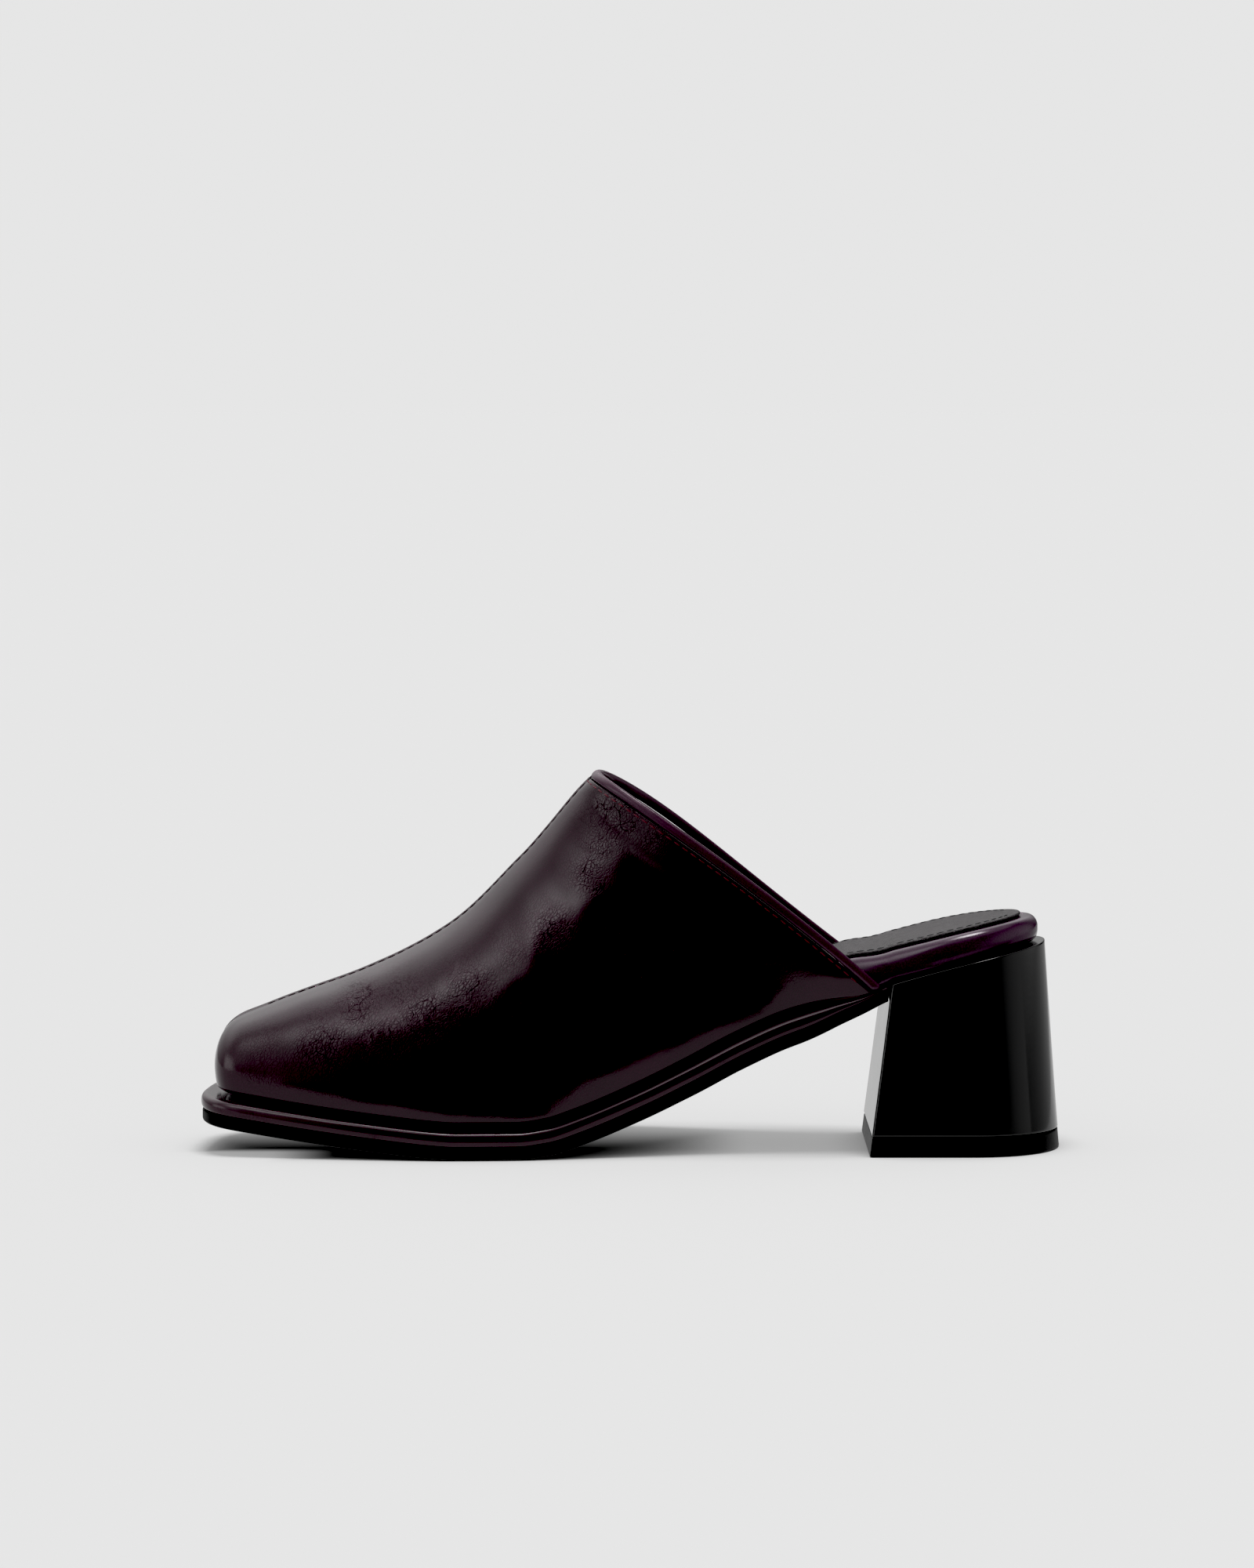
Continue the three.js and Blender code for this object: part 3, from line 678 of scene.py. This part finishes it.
def upper_skin(shape, depth, coarser=1):
    """The upper's skin at a depth, as its toe and its body, with the turned-in edge below each."""
    def body_row(share, side, angle):
        return share * row_before(side, angle, edge_clearance)

    def body(across, along):
        side, angle, seam = across_upper(across, along)
        row = body_row(along, side, angle)
        return upper_point(row, side, angle, depth - (seam if depth == 0 else 0))

    def body_turn(side_sign):
        def place(across, along):
            row = body_row(along, side_sign, 0.0)
            return upper_point(row, side_sign, 0.0, depth, 1 - across)
        return place

    def toe(across, along):
        row = -1 + along ** 0.9
        side, angle, seam = across_upper(across, row)
        return upper_point(row, side, angle, depth - (seam if depth == 0 else 0))

    def toe_turn(across, along):
        side, angle, seam = across_upper(across, -1.0)
        return upper_point(-1, side, angle, depth - (seam if depth == 0 else 0), 1 - along)

    patch(shape, across_steps // coarser, row_steps // coarser, body)
    patch(shape, turn_steps, row_steps // coarser, body_turn(-1.0))
    patch(shape, turn_steps, row_steps // coarser, body_turn(1.0))
    patch(shape, across_steps // coarser, toe_steps // coarser, toe)
    patch(shape, across_steps // coarser, turn_steps, toe_turn)


# Creases of the upper in the shoe's own lengths and heights: a positive rise is a ridge, a negative
# one a trough. side is -1 on the inner face and 1 on the outer one.
creases = table(
    "side x0 z0 x1 z1 width rise",
    (-1, 45, 42, 64, 51, 4.2, -0.3), (-1, 40, 34, 60, 38, 4.5, 0.14), (-1, 66, 47, 78, 53, 3.6, 0.16),
    (-1, 81, 46, 90, 55, 4.0, -0.24), (-1, 96, 61, 104, 72, 4.5, 0.16), (-1, 104, 74, 108, 80, 3.8, -0.14),
    (-1, 108, 80, 113, 88, 4.2, 0.18), (-1, 112, 90, 117, 97, 4.0, -0.16),
    (-1, 116, 100, 119, 106, 3.4, 0.14),
    (-1, 56, 31, 70, 37, 2.2, -0.1), (-1, 65, 46, 66.5, 39, 0.9, 0.1), (-1, 53, 39, 51, 31, 0.9, 0.09),
    (-1, 75, 58, 74, 51, 0.9, 0.08), (-1, 110, 45, 140, 58, 8, -0.08), (-1, 20, 33, 34, 30, 6, 0.12),
    (-1, 8, 22, 30, 20, 5, -0.08),
    (1, 48, 44, 70, 54, 4.5, -0.3), (1, 44, 34, 66, 40, 5, 0.16), (1, 84, 50, 94, 60, 4.5, -0.25),
    (1, 100, 64, 108, 78, 5, 0.18), (1, 60, 32, 78, 38, 3, -0.12), (1, 108, 82, 114, 94, 5, -0.18),
    (1, 94, 38, 126, 50, 9, -0.15), (1, 18, 30, 36, 28, 6, 0.12),
)

# Patches where the coat has broken into fine wrinkles, with their reach and strength
wrinkled_patches = table(
    "side x z reach strength",
    (-1, 122, 99, 9, 1), (-1, 117, 90, 6, 0.7), (-1, 114, 82, 6, 0.8), (-1, 103, 66, 7, 0.9),
    (-1, 92, 60, 7, 0.4), (-1, 79, 49, 8, 0.8), (-1, 67, 40, 9, 1), (-1, 55, 33, 9, 1), (-1, 47, 45, 8, 0.9),
    (-1, 60, 48, 8, 0.6), (-1, 38, 32, 10, 0.8), (-1, 132, 92, 6, 0.6), (-1, 148, 62, 13, 0.4),
    (-1, 20, 30, 10, 0.4), (-1, 170, 60, 9, 0.3), (-1, 100, 30, 14, 0.3), (1, 120, 98, 9, 1),
    (1, 112, 84, 8, 0.8), (1, 98, 62, 9, 0.9), (1, 78, 50, 9, 0.8), (1, 60, 40, 11, 1), (1, 45, 36, 9, 0.6),
    (1, 140, 66, 14, 0.4), (1, 25, 28, 10, 0.3),
)


def beside(points, side):
    """1 on one face of the upper, fading to 0 at its middle seam."""
    middle = -0.07 * ball_inner
    return smooth(side * (points[:, 1] - middle), 1.5, 9)


# How far the wall is drawn in at the feather edge, and over what height above it
undercut = 1.3
undercut_high = 10.0


def relief_at(points):
    """Rise of the listed creases, and of a slow waviness, at points on the upper."""
    rise = np.zeros(len(points))
    for side, x0, z0, x1, z1, width, height in zip(*creases.values()):
        run = np.array([x1 - x0, z1 - z0])
        off = points[:, [0, 2]] - (x0, z0)
        share = np.clip(off @ run / (run @ run), 0, 1)
        away = np.linalg.norm(off - share[:, None] * run, axis=1)
        fade = 1 - 0.5 * np.abs(2 * share - 1) ** 2
        rise += height * fade * np.exp(-(away / width) ** 2) * beside(points, side)
    x, y, z = points.T
    wave = np.sin(0.31 * x + 0.22 * z + 1.1) * np.sin(0.17 * z - 0.11 * x + 0.19 * y + 0.6)
    wave += 0.6 * np.sin(0.52 * x - 0.38 * z + 2.3 + 0.3 * y) * np.sin(0.29 * z + 0.21 * x + 0.4)
    held = smooth(z - feather_line(x), 3, 12)
    under = (1 - np.clip((z - feather_line(x)) / undercut_high, 0, 1)) ** 2
    return (rise + 0.03 * wave) * held - undercut * under


def wrinkles_at(points):
    """How broken the coat is at points on the upper, from 0 to 1."""
    broken = np.zeros(len(points))
    for side, x, z, reach, strength in zip(*wrinkled_patches.values()):
        away = np.hypot(points[:, 0] - x, points[:, 2] - z)
        broken = np.maximum(broken, strength * np.exp(-(away / reach) ** 2) * beside(points, side))
    return broken


def make_upper():
    shape = bmesh.new()
    upper_skin(shape, 0)
    return finished("upper_leather", shape, oxblood, "upper")


def turned_out(piece):
    """Makes the faces of an open skin point away from the shoe's inside."""
    points = in_shoe(mesh_points(piece))
    normals = mesh_normals(piece)
    middle = np.array([100.0, 0.0, 30.0])
    if np.mean(np.einsum("ij,ij->i", points - middle, normals)) < 0:
        piece.data.flip_normals()


def creased(piece):
    """Raises the creases along the skin's normals, and keeps where its coat is wrinkled."""
    points = mesh_points(piece)
    shoe = in_shoe(points)
    wrinkles = piece.data.attributes.new("wrinkles", "FLOAT", "POINT")
    wrinkles.data.foreach_set("value", wrinkles_at(shoe).astype(np.float32))
    move_points(piece, points + mesh_normals(piece) * relief_at(shoe)[:, None] / 1000)


def thickened(piece, thickness):
    """Gives a skin its wall, inwards."""
    solid = piece.modifiers.new("wall", "SOLIDIFY")
    solid.thickness = thickness / 1000
    solid.offset = -1
    return piece


upper = make_upper()
turned_out(upper)
creased(upper)
thickened(upper, skin_thick)


def make_lining():
    shape = bmesh.new()
    upper_skin(shape, lining_depth, coarser=2)
    piece = finished("upper_lining", shape, lining_leather, None)
    turned_out(piece)
    return thickened(piece, wall - lining_depth)


make_lining()


def make_binding():
    """The rolled binding along the topline, a rounded section swept from one lower end to the other."""
    thick = wall / 2 + binding_proud
    turned_share, cap_share, full = 0.02, 0.004, 2.6

    def place(across, along):
        side = np.where(along < 0.5, -1.0, 1.0)
        from_end = 1 - np.abs(2 * along - 1)
        angle = math.pi / 2 * np.clip((from_end - turned_share) / (1 - turned_share), 0, 1)
        down = 1 - np.clip(from_end / turned_share, 0, 1)
        turn = 2 * math.pi * across
        square = (np.abs(np.cos(turn)) ** full + np.abs(np.sin(turn)) ** full) ** (-1 / full)
        cap = np.clip(np.minimum(along, 1 - along) / cap_share, 0, 1) ** 0.5
        distance = binding_width / 2 * (1 + np.cos(turn) * square * cap)
        depth = wall / 2 + thick * np.sin(turn) * square * cap
        row = row_before(side, angle, distance)
        return upper_point(row, side, angle, depth, down)

    shape = bmesh.new()
    patch(shape, 20, 420, place)
    return finished("topline_binding_roll", shape, oxblood_edge, "topline_binding")


make_binding()


def toe_outline(angle):
    ahead = np.maximum(np.cos(angle), 0)
    aside = np.maximum(np.sin(angle), 0)
    reach = (ahead ** toe_plan_square + aside ** toe_plan_square) ** (-1 / toe_plan_square)
    return ahead * reach, aside * reach


def round_back(start, end, half, angle):
    ahead = np.maximum(np.cos(angle), 0)
    aside = np.maximum(np.sin(angle), 0)
    reach = (ahead ** back_square + aside ** back_square) ** (-1 / back_square)
    return start + (end - start) * ahead * reach, half * aside * reach


def outline(share, inset, end, start, margin, toe_margin, seat_half):
    """A flat piece's edge, for a share of the way round from the middle of its back.

    The inner side comes first, then the toe and the outer side. end is the round back's end or the
    straight back edge, and start is where a round back starts.
    """
    side = np.where(share < 0.5, -1.0, 1.0)
    way = 1 - np.abs(2 * share - 1)
    rounded = start is not None
    back_share = 0.16 if rounded else 0.1
    toe_share = 0.82
    back = np.clip(way / back_share, 0, 1)
    along = np.clip((way - back_share) / (toe_share - back_share), 0, 1)
    front = np.clip((way - toe_share) / (1 - toe_share), 0, 1)
    side_from = start if rounded else end
    x_side = mix(side_from, toe_corner, along)
    y_side = rand_half(side, x_side) - margin(x_side, side, inset)
    ahead, aside = toe_outline(math.pi / 2 * (1 - front))
    x_toe = toe_corner - (toe_corner - toe_margin - inset) * ahead
    y_toe = (rand_half(side, x_toe) - margin(x_toe, side, inset)) * aside
    if rounded:
        x_back, y_back = round_back(start, end - inset, seat_half(inset), math.pi / 2 * back)
    else:
        x_back = np.full_like(back, end)
        y_back = (rand_half(side, x_back) - margin(x_back, side, inset)) * back
    x = np.where(way < back_share, x_back, np.where(way > toe_share, x_toe, x_side))
    y = side * np.where(way < back_share, y_back, np.where(way > toe_share, y_toe, y_side))
    return x, y


def flat_piece(name, material, node, edge_line, edge, bottom, top):
    """A flat piece: its edge in section swept round its outline, and closed below and above."""
    around, section, lid = 420, 26, 10
    reach = np.concatenate([np.zeros(1), np.cumsum(np.hypot(np.diff(edge["inset"]), np.diff(edge["up"])))])
    edge = dict(edge, reach=reach / reach[-1])
    inset_at = curve(edge, "reach", "inset")
    up_at = curve(edge, "reach", "up")

    def side_wall(across, along):
        x, y = edge_line(across, inset_at(along))
        return slanted(x, y, mix(bottom(x), top(x), up_at(along)))

    def closed_by(level, inset, height):
        def place(across, along):
            x, y = edge_line(across, np.full_like(across, inset))
            return slanted(x, y * (1 - along), height(x))
        return place

    shape = bmesh.new()
    patch(shape, around, section, side_wall)
    patch(shape, around, lid, closed_by(0, edge["inset"][0], bottom))
    patch(shape, around, lid, closed_by(1, edge["inset"][-1], top))
    return finished(name, shape, material, node)


bead_edge = table(
    "inset up",
    (2.4, 0), (1.4, 0.02), (0.7, 0.09), (0.25, 0.2), (0.05, 0.35), (0.02, 0.5), (0.1, 0.66), (0.4, 0.82),
    (0.95, 0.93), (1.6, 0.985), (2.2, 1),
)
outsole_edge = table(
    "inset up",
    (0.6, 0), (0.35, 0.04), (0.1, 0.12), (0, 0.24), (0, 0.9), (0.1, 0.97), (0.3, 1),
)
rim_edge = table(
    "inset up",
    (2.6, 0), (1.6, 0.02), (0.8, 0.08), (0.3, 0.17), (0.05, 0.32), (0, 0.48), (0.15, 0.62), (0.55, 0.75),
    (1.2, 0.87), (2.2, 0.96), (3.4, 1),
)
sock_edge = table("inset up", (0.2, 0), (0.04, 0.2), (0, 0.45), (0.12, 0.75), (0.4, 0.94), (0.8, 1))


def rand_margin(x, side, inset):
    return inset


def outsole_margin(x, side, inset):
    return outsole_inset + inset


def rand_outline(share, inset):
    return outline(share, inset, sole_end, None, rand_margin, 0, None)


def outsole_outline(share, inset):
    return outline(share, inset, sole_end, None, outsole_margin, outsole_inset, None)


def clear_of_upper(x):
    return ledge_at(x) + np.maximum(tuck_at(x), wall) + fit_gap + slip


def footbed_margin(x, side, extra):
    seat_margin = rand_half(side, x) - seat_width / 2
    blend = smooth(x, upper_end, seat_start)
    return mix(clear_of_upper(np.minimum(x, upper_end)), seat_margin, blend) + extra


def rim_round(x):
    return mix(rim_round_toe, 1, over(x, footbed_rounds))


def sock_inside(x):
    return mix(sock_margin_toe, sock_margin, over(x, sock_narrows))


footbed_toe = ledge + tuck_in + 2 * fit_gap


def footbed_outline(share, inset):
    def margin(x, side, extra):
        return footbed_margin(x, side, extra * rim_round(x))

    def seat_half(extra):
        return seat_width / 2 - extra

    return outline(share, inset, rim_end, seat_start, margin, footbed_toe, seat_half)


def sock_outline(share, inset):
    def margin(x, side, extra):
        return footbed_margin(x, side, sock_inside(x) + extra)

    def seat_half(extra):
        return seat_width / 2 - sock_margin - extra

    return outline(share, inset, rim_end - sock_margin, seat_start, margin, footbed_toe + sock_margin_toe,
                   seat_half)


def sock_bottom(x):
    return footbed_top(x) + fit_gap


def sock_top(x):
    return footbed_top(x) + fit_gap + sock_thick


flat_piece("outsole_rubber", sole_rubber, "outsole", outsole_outline, outsole_edge, outsole_bottom,
           outsole_top)
flat_piece("rand_bead", oxblood_bead, "rand", rand_outline, bead_edge, rand_bottom, feather_line)
flat_piece("footbed_wrap", oxblood_rim, "footbed", footbed_outline, rim_edge, footbed_bottom, footbed_top)
flat_piece("sock_leather", sock_leather, "insole_sock", sock_outline, sock_edge, sock_bottom, sock_top)


def heel_part(name, material, node, low, high, trim, corner, rounding, rises):
    """A part of the heel between two surfaces, with its front corners and edges a little rounded."""
    round_share, side_share, corner_share = 0.36, 0.72, 0.8
    edge_share = 0.12

    def level(share, height_of, inset):
        side = np.where(share < 0.5, -1.0, 1.0)
        way = 1 - np.abs(2 * share - 1)
        top_share = height_of(heel_top_back) / heel_height
        back = shoe_length - heel_back_lean * top_share ** heel_bulge - trim - inset
        front_share = height_of(breast_top) / seat_front
        front = mix(breast_foot, breast_top, front_share) + trim + inset
        half = mix(heel_bottom_width, heel_top_width, top_share ** heel_bulge) / 2 - trim - inset
        start = back - heel_round
        in_round = np.clip(way / round_share, 0, 1)
        in_side = np.clip((way - round_share) / (side_share - round_share), 0, 1)
        in_corner = np.clip((way - side_share) / (corner_share - side_share), 0, 1)
        in_front = np.clip((way - corner_share) / (1 - corner_share), 0, 1)
        x_round, y_round = round_back(start, back, half, math.pi / 2 * in_round)
        turn = math.pi / 2 * in_corner
        x = np.where(way < round_share, x_round, mix(start, front + corner, in_side))
        x = np.where(way > side_share, front + corner * (1 - np.sin(turn)), x)
        y = np.where(way < round_share, y_round, half)
        y = np.where(way > side_share, half - corner * (1 - np.cos(turn)), y)
        y = np.where(way > corner_share, (half - corner) * (1 - in_front), y)
        return x, side * y

    def side_wall(across, along):
        rise = np.clip((along - edge_share) / (1 - 2 * edge_share), 0, 1)
        below = math.pi / 2 * np.clip(along / edge_share, 0, 1)
        above = math.pi / 2 * np.clip((along - 1 + edge_share) / edge_share, 0, 1)
        inset = rounding * (2 - np.sin(below) - np.cos(above))

        def height_of(x):
            wall_height = mix(low(x) + rounding, high(x) - rounding, rise)
            return wall_height + rounding * (np.sin(above) - np.cos(below))
        x, y = level(across, height_of, inset)
        return np.stack([x, y, height_of(x)], axis=-1)

    def lid(surface, inset):
        def place(across, along):
            def height_of(x):
                return surface(x) + 0 * across
            x, y = level(across, height_of, inset)
            return np.stack([x, y * (1 - along), height_of(x)], axis=-1)
        return place

    shape = bmesh.new()
    around, ribs = 240, 8
    patch(shape, around, rises, side_wall)
    patch(shape, around, ribs, lid(low, rounding))
    patch(shape, around, ribs, lid(high, rounding))
    return finished(name, shape, material, node)


def level_at(height):
    def surface(x):
        return height + 0 * np.asarray(x, float)
    return surface


heel_foot = level_at(top_lift_height + fit_gap)
heel_part("heel_block", heel_lacquer, "heel", heel_foot, seat_line, 0, 0.9, 0.35, 40)
lift_top = level_at(top_lift_height)
heel_part("top_lift_rubber", lift_rubber, "top_lift", level_at(0), lift_top, slip, 0.8, 0.25, 16)


def stitches(name, path, pitch, length, radius, material, start=0.0, stop=1.0):
    """A row of stitches along a path, which gives points on a surface and the ways out of it."""
    shares = np.linspace(start, stop, 900)
    points, out = path(shares)
    steps = np.linalg.norm(np.diff(points, axis=0), axis=1)
    along = np.concatenate([np.zeros(1), np.cumsum(steps)])
    count = int(along[-1] // pitch)
    shape = bmesh.new()
    for number in range(count):
        at = (number + 0.5) * along[-1] / count
        ends = [np.array([np.interp(at + off, along, points[:, k]) for k in range(3)])
                for off in (-length / 2, length / 2)]
        up = Vector([np.interp(at, along, out[:, k]) for k in range(3)]).normalized()
        run = Vector(ends[1] - ends[0])
        forward = run.normalized()
        aside = up.cross(forward).normalized()
        up = forward.cross(aside).normalized()
        made = bmesh.ops.create_uvsphere(shape, u_segments=8, v_segments=6, radius=1)["verts"]
        middle = Vector((ends[0] + ends[1]) / 2) + up * radius * 0.25
        for vertex in made:
            x, y, z = vertex.co
            spot = middle + forward * (z * run.length / 2) + aside * (x * radius) + up * (y * radius)
            vertex.co = in_frame(spot)
    return finished(name, shape, material, None, weld=1e-7)


def way_out(surface):
    """A path's points and outward ways, from a surface of share and offset."""
    def path(shares):
        here = surface(shares, 0)
        along = surface(shares + 1e-3, 0) - surface(shares - 1e-3, 0)
        over_edge = surface(shares, 0.4) - surface(shares, -0.4)
        out = np.cross(along, over_edge)
        out /= np.linalg.norm(out, axis=1)[:, None]
        middle = np.array([110.0, -4.0, 30.0])
        turned = np.sign(np.einsum("ij,ij->i", out, here - middle))
        return here, out * turned[:, None]
    return path


def below_binding(side):
    def surface(share, off):
        angle = math.pi / 2 * (0.012 + 0.976 * share)
        row = row_before(side, angle, edge_clearance + 1.1 + off)
        return upper_point(row, side, angle, 0)
    return surface


for side_name, side in (("inner", -1.0), ("outer", 1.0)):
    stitches("binding_stitches_" + side_name, way_out(below_binding(side)), 2.9, 2.2, 0.24, oxblood_thread)


def beside_seam(side):
    def surface(share, off):
        row = 0.02 + 0.95 * share
        half = upper_half(1, mix(toe_corner, upper_end, fan_foot(row)))
        angle = math.pi / 2 - (seam_half + seam_foot + 0.5 + off) / half
        return upper_point(row, side, angle, 0)
    return surface


for side_name, side in (("inner", -1.0), ("outer", 1.0)):
    stitches("seam_stitches_" + side_name, way_out(beside_seam(side)), 3.1, 2.3, 0.2, seam_thread)


def on_sock(share, off):
    x, y = sock_outline(share, np.full_like(share, 2.4 + off))
    return slanted(x, y, sock_top(x))


stitches("sock_stitches", way_out(on_sock), 3.0, 2.2, 0.2, black_thread, 0.02, 0.98)


# The camera, fitted to the photograph: 1600 by 2000, seen a little from above
camera_data = bpy.data.cameras.new("camera")
camera_data.sensor_width = 36
camera_data.lens = 133.2
camera = bpy.data.objects.new("camera", camera_data)
camera.location = (-0.0014, -1.7109, 0.222)
horizon_above_middle = 500
focal_length_in_pixels = 7400
pitch = math.atan(horizon_above_middle / focal_length_in_pixels)
camera.rotation_euler = (math.radians(90) - pitch, 0, 0)
bpy.context.scene.collection.objects.link(camera)
bpy.context.scene.camera = camera

view = bpy.context.scene.view_settings
view.view_transform = "Standard"
view.use_curve_mapping = True
view.curve_mapping.black_level = (0.02, 0.02, 0.02)
view.curve_mapping.update()
backdrop_tone = 0.795
card_height = -0.001


def make_floor():
    """The pale floor, which only the camera sees, with a painted contact shadow in its glow."""
    shape = bmesh.new()
    bmesh.ops.create_circle(shape, cap_ends=True, segments=96, radius=60)
    mesh = bpy.data.meshes.new("floor")
    shape.to_mesh(mesh)
    shape.free()
    floor = bpy.data.objects.new("floor", mesh)
    floor.location = (0, 0, -0.0002)
    bpy.context.scene.collection.objects.link(floor)
    finish = Finish("pale_floor")
    along, across, _ = finish.parts(finish.place())
    # painted shadow: the floor's glow is darkened where ambient occlusion finds the shoe close by, lightened
    # towards the back, and cleared just before the toe on the near side
    near = finish.node("AmbientOcclusion", {"samples": 16}, output=1, distance=0.026)
    ahead = (0.0 - along).between(0.085, 0.108) * (0.0 - across).between(0.013, 0.024)
    share_left_by_painted_shadow = near.between(0.05, 0.86).most(across.between(-0.018, 0.04) * 0.92).most(ahead)
    glow_with_painted_shadow = finish.blend(share_left_by_painted_shadow, (0, 0, 0), (0.344, 0.344, 0.344))
    floor.data.materials.append(finish.shader(
        base_color=(0.3, 0.3, 0.3), roughness=1.0, specular_ior_level=0.0, emission_color=glow_with_painted_shadow,
        emission_strength=1.0))
    floor.visible_diffuse = False
    floor.visible_glossy = False
    floor.visible_shadow = False
    return floor


floor = make_floor()


def glow_card(name, points, mirrored_strength, soft_strength):
    """A card on the floor that only the shoe's surfaces see: its strength in gloss and in soft light."""
    shape = bmesh.new()
    corners = [shape.verts.new((x, y, card_height)) for x, y in points]
    shape.faces.new(corners)
    mesh = bpy.data.meshes.new(name)
    shape.to_mesh(mesh)
    shape.free()
    card = bpy.data.objects.new(name, mesh)
    bpy.context.scene.collection.objects.link(card)
    finish = Finish(name)
    mirrored = finish.node("LightPath", output="Is Glossy Ray")
    strength = soft_strength + (mirrored_strength - soft_strength) * mirrored
    glow = finish.node("Emission", color=(1, 1, 1), strength=strength)
    finish.node("OutputMaterial", output=None, surface=glow)
    card.data.materials.append(finish.owner)
    card.visible_camera = False
    card.visible_shadow = False
    return card


glow_card("table_front", [
    (-1.5, -1.6), (-0.36, -0.5), (-0.24, -0.28), (-0.16, -0.13),
    (-0.099, -0.083), (-0.045, -0.068), (-0.012, -0.062), (0.0145, -0.0955),
    (0.029, -0.108), (0.043, -0.11), (0.054, -0.12), (0.09, -0.1),
    (0.2, -0.03), (-0.14, -0.03), (-1.5, -0.2),
], 0.75, 0.35)
glow_card("table_beside_heel", [
    (0.106, -0.24), (0.35, -0.24), (0.35, -0.12), (0.106, -0.12),
], 0.55, 0.0)
glow_card("table_back", [
    (-1.5, -0.2), (-0.14, -0.03), (0.2, -0.03), (0.3, 0.3), (0.4, 2.5),
    (-1.5, 2.5),
], 0.7, 0.2)
glow_card("table_right", [
    (0.2, -0.03), (1.6, -0.03), (1.6, 2.5), (0.4, 2.5), (0.3, 0.3),
], 0.4, 0.2)


def make_world():
    """A studio lit from the left and from high behind, and dark on the camera's side."""
    world = bpy.data.worlds.new("studio")
    bpy.context.scene.world = world
    finish = Finish("studio", world)
    seen = finish.node("LightPath", output="Is Camera Ray")
    mirrored = finish.node("LightPath", output="Is Glossy Ray")
    x, y, z = finish.parts(finish.node("TexCoord", output="Generated"))
    edge = (y - 2.2 * x + 0.9 * (z - 0.6).most(0.0)).between(-0.3, 0.12)
    left = 0.05 + edge * (0.7 + 1.0 * y.between(-0.35, 0.3) * z.between(0.25, 0.75))
    left = left * (1.0 - (x + 0.15).between(0.0, 0.5) * 0.7) * (0.35 + 0.65 * z.between(-0.15, 0.35))
    lobe = (0.57 * (0.0 - y) - 0.23 * x + 0.788 * z).most(0.0) ** 22.0
    pillar = (0.0 - 0.94 * x - 0.342 * y).between(0.86, 0.99) * (1.0 - z.between(0.2, 0.4))
    roof = z.between(0.95, 0.975) * (y + 0.16).between(0.0, 0.1) * (x + 0.1).between(0.0, 0.2)
    behind = y.between(0.2, 0.8) * (1.0 - (x - 0.1).between(0.0, 0.5) * 0.75) * z.between(-0.1, 0.5)
    ceiling = z.between(0.68, 0.85) * 0.75
    right = x.between(0.5, 1.05) * 0.7
    glow = left.most(behind).most(right).most(ceiling) + lobe * 2.4 * edge + pillar * 1.2 + roof * 14.0
    glow = glow * z.between(-0.3, 0.0)
    soft = 0.5 * z.between(-0.6, 0.4)
    strength = mirrored * glow + seen * backdrop_tone + (1.0 - mirrored) * (1.0 - seen) * soft
    background = finish.node("Background", color=(1, 1, 1), strength=strength)
    finish.node("OutputWorld", output=None, surface=background)


make_world()


def sky_light(name, towards, spread, power):
    """A broad even light from far away, in the direction given."""
    data = bpy.data.lights.new(name, "SUN")
    data.angle = math.radians(spread)
    data.energy = power
    light = bpy.data.objects.new(name, data)
    light.location = Vector(towards) * 2
    light.rotation_euler = (-Vector(towards)).to_track_quat("-Z", "Y").to_euler()
    light.visible_glossy = False
    bpy.context.scene.collection.objects.link(light)
    return light


def lights_only(light, pieces):
    """Keeps a light for some pieces."""
    group = bpy.data.collections.new(light.name + "_pieces")
    for piece in pieces:
        group.objects.link(piece)
    light.light_linking.receiver_collection = group


floor_light = sky_light("floor_light", (0.04, -0.1, 1), 28, 3.2)
left_light = sky_light("left_light", (-0.66, 0.12, 0.74), 42, 0.25)
lights_only(floor_light, [floor])
lights_only(left_light, [piece for piece in bpy.data.objects if piece.type == "MESH" and piece != floor])
